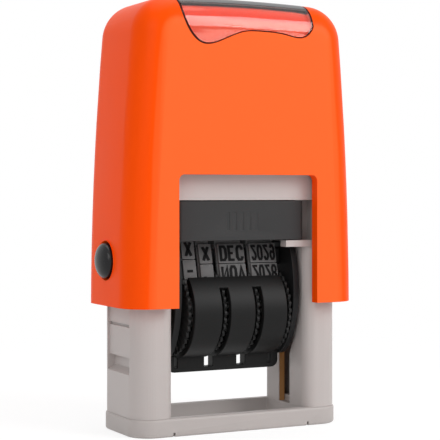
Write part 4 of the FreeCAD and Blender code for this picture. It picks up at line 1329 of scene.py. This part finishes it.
@dataclass(frozen=True)
class TypeFace:
    """Heavy narrow type: how thick its strokes stand and how far they rise."""

    rise: float = 0.16 * MM
    stem_share: float = 0.32
    arm_share: float = 0.15
    gap: float = 0.22 * MM
    mitre_limit: float = 1.5
    hairpin: float = 0.2

    def stroke(self, line: Array, thickness: Array) -> Surface:
        """Raised stroke along a line in the plane.

        The line is scaled so that a stroke is 1 thick both ways. At each point the sideways vector
        is the sum of the two neighbouring unit normals over one plus their product, which keeps
        the width through a corner. It is then scaled back.

        Args:
            line: points of the stroke's middle.
            thickness: thickness of an upright and of a level stroke.

        Returns:
            The closed stroke, lying on the plane.
        """
        scaled = line / thickness
        closed = bool(np.allclose(line[0], line[-1]))
        if closed:
            scaled = scaled[:-1]
            ways = np.roll(scaled, -1, axis=0) - scaled
        else:
            ways = np.diff(scaled, axis=0)
        ways /= np.linalg.norm(ways, axis=1)[:, None]
        normals = np.column_stack([-ways[:, 1], ways[:, 0]])
        before = np.roll(normals, 1, axis=0) if closed else np.vstack([normals[:1], normals])
        after = normals if closed else np.vstack([normals, normals[-1:]])
        product = np.sum(before * after, axis=1)
        sideways = (before + after) / np.maximum(1 + product, self.hairpin)[:, None]
        length = np.linalg.norm(sideways, axis=1)[:, None]
        sideways *= np.minimum(length, self.mitre_limit) / length
        flat = np.column_stack([scaled * thickness, np.zeros(len(scaled))])
        across = np.column_stack([sideways * thickness, np.zeros(len(scaled))])
        section = np.array([(-0.5, -self.rise), (0.5, -self.rise), (0.5, self.rise),
                            (-0.5, self.rise)])
        return swept(flat, across, Z_AXIS, section, closed)

    def word(self, text: str, width: float, height: float) -> Surface:
        """Raised word in the plane, centred and fitted to a width and a height.

        Args:
            text: characters of the word.
            width: width over all characters.
            height: height of the characters.

        Returns:
            All its strokes as one surface.
        """
        cell = (width - self.gap * (len(text) - 1)) / len(text)
        thickness = np.array([cell * self.stem_share, height * self.arm_share])
        size = np.array([cell, height]) - thickness
        strokes = []
        for index, character in enumerate(text):
            corner = np.array([-width / 2 + index * (cell + self.gap), -height / 2]) + thickness / 2
            strokes += [self.stroke(corner + line * size, thickness)
                        for line in GLYPHS[character].lines]
        return joined(strokes)


@dataclass(frozen=True)
class BandLoop:
    """Path of a band's outside: over the nose, round its corners, down to the drum and round it."""

    wheel_axis: float = 23.5 * MM
    nose_axis: float = 35.7 * MM
    nose_half: float = 1.5 * MM
    nose_radius: float = 1.2 * MM
    drum_radius: float = 5.6 * MM

    @property
    def rise(self) -> float:
        """Height of the nose corners' centres above the wheels' axis."""
        return self.nose_axis - self.wheel_axis

    @property
    def lean(self) -> float:
        """Angle of the straight runs' outward direction above the level."""
        span = math.hypot(self.nose_half, self.rise)
        return (math.asin((self.drum_radius - self.nose_radius) / span)
                - math.atan2(self.nose_half, self.rise))

    @property
    def lengths(self) -> Array:
        """Lengths of half of the loop: nose line, nose corner, straight run, half of the drum."""
        run = math.sqrt(self.nose_half ** 2 + self.rise ** 2
                        - (self.drum_radius - self.nose_radius) ** 2)
        return np.array([self.nose_half, (QUARTER - self.lean) * self.nose_radius, run,
                         (QUARTER + self.lean) * self.drum_radius])

    @property
    def length(self) -> float:
        """Length of the whole loop."""
        return 2 * float(self.lengths.sum())

    def place(self, distance: Array) -> tuple[Array, Array]:
        """Points and outward directions on the loop.

        The distance runs from the top middle over the front. Past half of the loop the place is
        the mirror image of what is left. Within a half it is, in turn, a level line, an arc about
        the nose corner, a tangent line and an arc about the wheel's axis.

        Args:
            distance: ways along the loop.

        Returns:
            Points with X zero, and unit vectors that point outwards.
        """
        whole = np.mod(distance, self.length)
        mirrored = whole > self.length / 2
        way = np.where(mirrored, self.length - whole, whole)
        ends = np.cumsum(self.lengths)
        part = np.minimum(np.searchsorted(ends, way), 3)
        way = way - np.where(part > 0, ends[np.maximum(part - 1, 0)], 0)
        lean = self.lean
        angle = np.select([part == 0, part == 1, part == 2],
                          [QUARTER, QUARTER - way / self.nose_radius, lean],
                          lean - way / self.drum_radius)
        radius = np.where(part == 3, self.drum_radius, self.nose_radius)
        forward = np.select([part == 0, part == 1, part == 2],
                            [way, self.nose_half, self.nose_half + way * math.sin(lean)], 0.0)
        height = np.select([part == 2, part == 3],
                           [self.nose_axis - way * math.cos(lean), self.wheel_axis],
                           self.nose_axis)
        forward = forward + np.where(part == 0, 0.0, radius * np.cos(angle))
        height = height + radius * np.sin(angle)
        side = np.where(mirrored, 1.0, -1.0)
        none = np.zeros_like(forward)
        return (np.column_stack([none, side * forward, height]),
                np.column_stack([none, side * np.cos(angle), np.sin(angle)]))


@dataclass
class Carriage:
    """The date carriage: cheeks, print head, shaft, guard with its lip, bands and thumb wheels."""

    edge: float = 0.25 * MM
    loop: BandLoop = BandLoop()
    type_face: TypeFace = TypeFace()
    type_smooth: float = 30.0
    belt_thickness: float = 0.7 * MM
    belt_edge: float = 0.12 * MM
    belt_steps: int = 180
    block_side: float = 0.1 * MM
    block_rise: float = 0.8 * MM
    block_root: float = 0.3 * MM
    block_gap: float = 0.12 * MM
    block_draft: float = 0.02 * MM
    block_edge: float = 0.16 * MM
    block_round: tuple[float, float] = (0.3, 0.35)
    type_height_share: float = 0.78
    type_width_share: float = 0.87
    single_width_share: float = 0.56
    tens_shift: float = 1.0 * MM
    guard_radius: float = 9.4 * MM
    guard_wall: float = 1.2 * MM
    guard_edge: float = 0.15 * MM
    guard_edge_angle: float = 50.0
    guard_columns: int = 6
    guard_end_steps: int = 8
    guard_steps: int = 100
    slot_top_angle: float = 33.0
    slot_room: tuple[float, float] = (0.65 * MM, 0.45 * MM)
    lip_half_depth: float = 1.2 * MM
    lip_low: float = 11.3 * MM
    lip_web: float = 0.9 * MM
    lip_top: float = 14.7 * MM
    lip_end_round: float = 1.5 * MM
    lip_end_steps: int = 7
    lip_half_length: float = 12.6 * MM
    lip_edge: float = 0.175 * MM
    outer_notch: float = 0.65 * MM
    rim_thickness: float = 0.8 * MM
    rim_radius: float = 8.8 * MM
    rim_edge: float = 0.15 * MM
    rim_shoulder: float = 0.45 * MM
    rim_smooth: float = 50.0
    rim_tooth: float = 0.5 * MM
    rim_teeth: int = 36
    tooth_steps: int = 6
    tooth_shares: tuple[float, float, float, float] = (0.5, 1.0, 1.0, 0.5)
    drum_radius: float = 4.8 * MM
    bore_radius: float = 1.15 * MM

    def build(self, palette: Palette) -> None:
        """Builds the carriage's pieces and the four wheels.

        Args:
            palette: the finishes' materials.
        """
        for node in ("cheek_left", "cheek_right", "print_head"):
            finish_piece(softened_copy(node, node + "_moulding", self.edge, 3), "carriage", palette,
                         palette.black)
        palette.dress(frame["nodes"]["wheel_shaft"], palette.steel)
        guard = self.guard()
        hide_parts("wheel_shroud")
        finish_piece(guard, "carriage", palette, palette.guard)
        finish_piece(self.lip(), "carriage", palette, palette.guard)
        for band in DateBand:
            rubber = self.band(band)
            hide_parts(band.node)
            finish_piece(rubber, "carriage", palette, palette.rubber)
            finish_piece(self.raised_type(band), "carriage", palette, palette.ink)
            wheel = self.wheel(band)
            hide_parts(band.wheel)
            finish_piece(wheel, band.word + "_setting", palette, palette.wheel)

    def rim_low(self, band: DateBand) -> float:
        """Lowest X of a band's thumb rim, which stands at the outer end of its wheel."""
        low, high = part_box(band.wheel)
        return low.x if band is DateBand.TENS else high.x - self.rim_thickness

    def slots(self) -> list[tuple[float, float]]:
        """Lowest and highest X of the four slots in the guard."""
        return [(low - self.slot_room[0], low + self.rim_thickness + self.slot_room[1])
                for low in map(self.rim_low, DateBand)]

    def guard(self) -> bpy.types.Object:
        """Curved guard between the two outer slots.

        A point stands at its X, the radius times the cosine of the angle along Y and times the
        sine along Z, above the wheels' axis. The cells in the two inner slots are left out, and
        the sheet gets its wall inwards.

        Returns:
            The guard.
        """
        slots = self.slots()
        stretches = ((slots[0][1], slots[1][0]), slots[1], (slots[1][1], slots[2][0]), slots[2],
                     (slots[2][1], slots[3][0]))
        across = np.unique(np.concatenate([np.linspace(first, last, self.guard_columns)
                                           for first, last in stretches]).round(7))
        edge, top = self.guard_edge_angle, self.slot_top_angle
        angle = np.unique(np.concatenate([
            np.linspace(-180 - edge, -180 - top, self.guard_end_steps),
            np.linspace(-180 - top, top, self.guard_steps),
            np.linspace(top, edge, self.guard_end_steps)]).round(5))
        turn, x = np.meshgrid(np.radians(angle), across, indexing="ij")
        points = np.stack([x, self.guard_radius * np.cos(turn),
                           self.loop.wheel_axis + self.guard_radius * np.sin(turn)], axis=-1)
        faces = grid_faces(len(angle), len(across))
        middle_x = across[faces % len(across)].mean(axis=1)
        middle_angle = angle[faces // len(across)].mean(axis=1)
        in_slot = np.zeros(len(faces), dtype=bool)
        for low, high in slots[1:3]:
            in_slot |= (middle_x > low) & (middle_x < high)
        in_slot &= (middle_angle > -180 - top) & (middle_angle < top)
        sheet = Surface(points.reshape(-1, 3), faces[~in_slot][:, ::-1].tolist())
        piece = make_piece("wheel_guard", sheet, SHEET_SMOOTH, closed=False)
        add_wall(piece, self.guard_wall, even=True)
        return round_edges(piece, self.guard_edge)

    def lip(self) -> bpy.types.Object:
        """Grip lip under the guard: a notched outline with round lower ends, made thick.

        Returns:
            The lip.
        """
        half, low, top, turn = self.lip_half_length, self.lip_low, self.lip_top, self.lip_end_round
        slots = self.slots()
        notches = [(slots[0][1] - self.outer_notch, slots[0][1]), slots[1], slots[2],
                   (slots[3][0], slots[3][0] + self.outer_notch)]
        angle = np.linspace(0, QUARTER, self.lip_end_steps)
        right = np.column_stack([half - turn + turn * np.sin(angle),
                                 low + turn - turn * np.cos(angle)])
        left = np.column_stack([-right[::-1, 0], right[::-1, 1]])
        floor = low + self.lip_web
        upper = [(half, top)]
        for first, last in notches[::-1]:
            upper += [(last, top), (last, floor), (first, floor), (first, top)]
        outline = np.vstack([left, right, upper, [(-half, top)]])
        points = np.column_stack([outline[:, 0], np.zeros(len(outline)), outline[:, 1]])
        sheet = Surface(points, [list(range(len(points)))])
        piece = make_piece("guard_lip", sheet, SHEET_SMOOTH, closed=False)
        add_wall(piece, 2 * self.lip_half_depth, offset=0.0)
        return round_edges(piece, self.lip_edge)

    def shift(self, band: DateBand) -> float:
        """How far a band stands off its row."""
        return self.tens_shift if band is DateBand.TENS else 0.0

    def block_frames(self, band: DateBand) -> tuple[Array, Array, Array]:
        """Places of the blocks, evenly spaced along the loop.

        Args:
            band: the band that they stand on.

        Returns:
            The middle, the outward and the upward direction of each.
        """
        count = len(band.blocks)
        distance = np.arange(count) * self.loop.length / count - self.shift(band)
        middle, out = self.loop.place(distance)
        return middle, out, np.cross(out, X_AXIS)

    def band(self, band: DateBand) -> bpy.types.Object:
        """Rubber band: a belt carried round the loop, and its blocks with rounded tops.

        A block is its rounded outline carried outwards, drawn in towards its top.

        Args:
            band: which band.

        Returns:
            The band.
        """
        low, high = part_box(band.node)
        distance = np.linspace(0, self.loop.length, self.belt_steps + 1)[:-1]
        path, out = self.loop.place(distance)
        section = rounded_rectangle((low.x, -self.belt_thickness), (high.x, 0.0), self.belt_edge)
        pieces = [swept(path, X_AXIS, out, section, closed=True)]
        half = self.loop.length / len(band.blocks) / 2 - self.block_gap / 2
        rises = np.array([-self.block_root, self.block_rise - self.block_edge,
                          self.block_rise - self.block_edge * self.block_round[0],
                          self.block_rise])
        insets = np.array([0.0, self.block_draft, self.block_edge * self.block_round[1],
                           self.block_edge])
        outlines = np.stack([rounded_rectangle((low.x + self.block_side + inset, -half + inset),
                                               (high.x - self.block_side - inset, half - inset),
                                               self.block_edge) for inset in insets])
        for middle, away, up in zip(*self.block_frames(band)):
            pieces.append(swept(middle + rises[:, None] * away, X_AXIS, up, outlines))
        return make_piece(band.word + "_rubber_band", joined(pieces), SHEET_SMOOTH)

    def raised_type(self, band: DateBand) -> bpy.types.Object:
        """Raised characters on all blocks of a band, set as a mirror image as on a stamp.

        Args:
            band: which band.

        Returns:
            The characters.
        """
        low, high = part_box(band.node)
        centre = (low.x + high.x) / 2 * X_AXIS
        height = self.loop.length / len(band.blocks) * self.type_height_share
        laid = []
        for word, middle, out, up in zip(band.blocks, *self.block_frames(band)):
            share = self.type_width_share if len(word) > 1 else self.single_width_share
            flat = self.type_face.word(word, (high.x - low.x) * share, height)
            u, v, w = flat.points.T[..., None]
            points = centre + middle + u * X_AXIS - v * up + (w + self.block_rise) * out
            laid.append(Surface(points, flat.faces))
        return make_piece(band.word + "_type", joined(laid), self.type_smooth)

    def wheel(self, band: DateBand) -> bpy.types.Object:
        """Band drum with a saw-edged thumb rim at its outer end.

        The rim's radius falls by the tooth's depth, times one less the size of the cosine of half
        the tooth count times the angle.

        Args:
            band: the band that it sets.

        Returns:
            The wheel.
        """
        low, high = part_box(band.wheel)
        first = self.rim_low(band)
        last, shoulder = first + self.rim_thickness, self.rim_radius - self.rim_shoulder
        rim = [(first, shoulder), (first + self.rim_edge, self.rim_radius),
               (last - self.rim_edge, self.rim_radius), (last, shoulder)]
        before = [(low.x, self.bore_radius)]
        if low.x < first:
            before += [(low.x, self.drum_radius), (first, self.drum_radius)]
        after = [(high.x, self.bore_radius)]
        if high.x > last:
            after = [(last, self.drum_radius), (high.x, self.drum_radius)] + after
        profile = np.array(before + rim + after)
        takes = np.zeros(len(profile))
        takes[len(before):len(before) + len(rim)] = self.tooth_shares
        surface = turned(profile, self.loop.wheel_axis, self.rim_teeth * self.tooth_steps,
                         self.ripple, takes)
        return make_piece(band.word + "_thumb_wheel", surface, self.rim_smooth)

    def ripple(self, angle: Array) -> Array:
        """Drop of the saw-edged rim's radius at an angle."""
        return self.rim_tooth * (1 - np.abs(np.cos(angle * self.rim_teeth / 2)))


# Studio


@dataclass(frozen=True)
class Lamp:
    """A square soft light."""

    name: str
    place: tuple[float, float, float]
    size: float
    power: float

    def light(self, aim: Vector) -> None:
        """Places the light.

        Args:
            aim: the point that it looks at.
        """
        data = bpy.data.lights.new(self.name, "AREA")
        data.shape = "RECTANGLE"
        data.size = data.size_y = self.size
        data.energy = self.power
        lamp = place_object(self.name, data)
        lamp.location = self.place
        lamp.rotation_euler = (aim - Vector(self.place)).to_track_quat("-Z", "Y").to_euler()


@dataclass
class Studio:
    """White floor, soft lights and the camera at the photograph's angle."""

    yaw: float = math.radians(27.0)
    focal_px: float = 1405.0
    image_px: float = 440.0
    distance: float = 288.0 * MM
    aside: float = 0.25 * MM
    eye_height: float = 47.6 * MM
    horizon_px: float = 192.0
    sensor: float = 36.0
    near_clip: float = 0.01
    floor_half: float = 1.5
    floor_colour: tuple[float, float, float, float] = (0.9, 0.9, 0.9, 1.0)
    floor_roughness: float = 0.8
    shadow_near: float = 0.05
    shadow_far: float = 0.17
    shadow_share: float = 0.3
    open_floor: float = 0.72
    world_light: float = 0.45
    aim_height: float = 0.045
    lamps: tuple[Lamp, ...] = (Lamp("key", (0.35, -0.45, 0.35), 0.35, 2.0),
                               Lamp("fill", (-0.40, -0.36, 0.3), 0.3, 0.65),
                               Lamp("top", (0.0, 0.05, 0.6), 0.4, 1.0))

    def build(self) -> None:
        """Builds the floor, the world, the lights and the camera."""
        self.floor()
        self.world()
        for lamp in self.lamps:
            lamp.light(Vector((0, 0, self.aim_height)))
        self.camera()

    def camera(self) -> None:
        """Camera level with the machine's middle, turned to its front left."""
        data = bpy.data.cameras.new("camera")
        data.sensor_width = self.sensor
        data.lens = self.focal_px / self.image_px * self.sensor
        data.shift_y = (self.horizon_px - self.image_px / 2) / self.image_px
        data.clip_start = self.near_clip
        ahead = Vector((math.sin(self.yaw), math.cos(self.yaw), 0))
        right = Vector((math.cos(self.yaw), -math.sin(self.yaw), 0))
        eye = Vector((0, 0, self.eye_height))
        camera = place_object("camera", data)
        camera.location = -ahead * self.distance - right * self.aside + eye
        camera.rotation_euler = Euler((QUARTER, 0, -self.yaw))
        bpy.context.scene.camera = camera

    def floor(self) -> None:
        """White floor that keeps the machine's shadow."""
        half = self.floor_half
        points = np.array([(-half, -half, 0.0), (half, -half, 0.0), (half, half, 0.0),
                           (-half, half, 0.0)])
        floor = make_piece("floor", Surface(points, [[0, 1, 2, 3]]), closed=False)
        floor.data.materials.append(self.floor_material())

    def seen(self, wiring: Wiring) -> Socket:
        """1 for rays from the camera, from gloss and through glass, else 0.

        Args:
            wiring: the tree that asks.

        Returns:
            The share.
        """
        path = wiring.node("ShaderNodeLightPath").outputs
        mirrored = wiring.math("MAXIMUM", path["Is Glossy Ray"], path["Is Transmission Ray"])
        return wiring.math("MAXIMUM", path["Is Camera Ray"], mirrored)

    def floor_material(self) -> bpy.types.Material:
        """Floor that is seen as white, less a share of its shadow near the machine.

        Returns:
            The floor's material.
        """
        made, wiring, shader = new_material("floor_white")
        seen = self.seen(wiring)
        reach = wiring.node("ShaderNodeVectorMath", operation="LENGTH")
        wiring.join(wiring.place("Object"), reach.inputs[0])
        near = wiring.node("ShaderNodeMapRange", interpolation_type="SMOOTHSTEP")
        wiring.feed(near.inputs, {"Value": reach.outputs["Value"], "From Min": self.shadow_near,
                                  "From Max": self.shadow_far, "To Min": self.shadow_share,
                                  "To Max": 0.0})
        share = near.outputs["Result"]
        faded = wiring.math("MULTIPLY", seen, wiring.math("SUBTRACT", 1.0, share))
        lost = wiring.math("MULTIPLY", share, self.open_floor)
        glow = wiring.math("MULTIPLY", seen, wiring.math("SUBTRACT", 1.0, lost))
        wiring.feed(shader, {"Base Color": wiring.mix(faded, self.floor_colour, BLACK),
                             "Emission Color": WHITE, "Emission Strength": glow,
                             "Roughness": self.floor_roughness, "Specular IOR Level": 0.0})
        return made

    def world(self) -> None:
        """White surroundings, softer as a light than as a background."""
        world = bpy.data.worlds.new("studio")
        bpy.context.scene.world = world
        world.use_nodes = True
        wiring = Wiring(world.node_tree)
        light = wiring.math("MULTIPLY_ADD", self.seen(wiring), 1 - self.world_light,
                            self.world_light)
        wiring.feed(world.node_tree.nodes["Background"].inputs, {"Color": WHITE, "Strength": light})


def main() -> None:
    """Builds the machine from its frame outwards, then the studio."""
    logging.basicConfig(level=logging.INFO, format="%(name)s: %(message)s")
    bpy.context.scene.view_settings.view_transform = "Standard"
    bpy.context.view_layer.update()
    palette = Palette()
    for assembly in (Housing(), Cover(), LockButtons(), InkCartridge(), Carriage()):
        assembly.build(palette)
        LOG.info("%s is built", type(assembly).__name__)
    Studio().build()


if __name__ == "__main__":
    main()
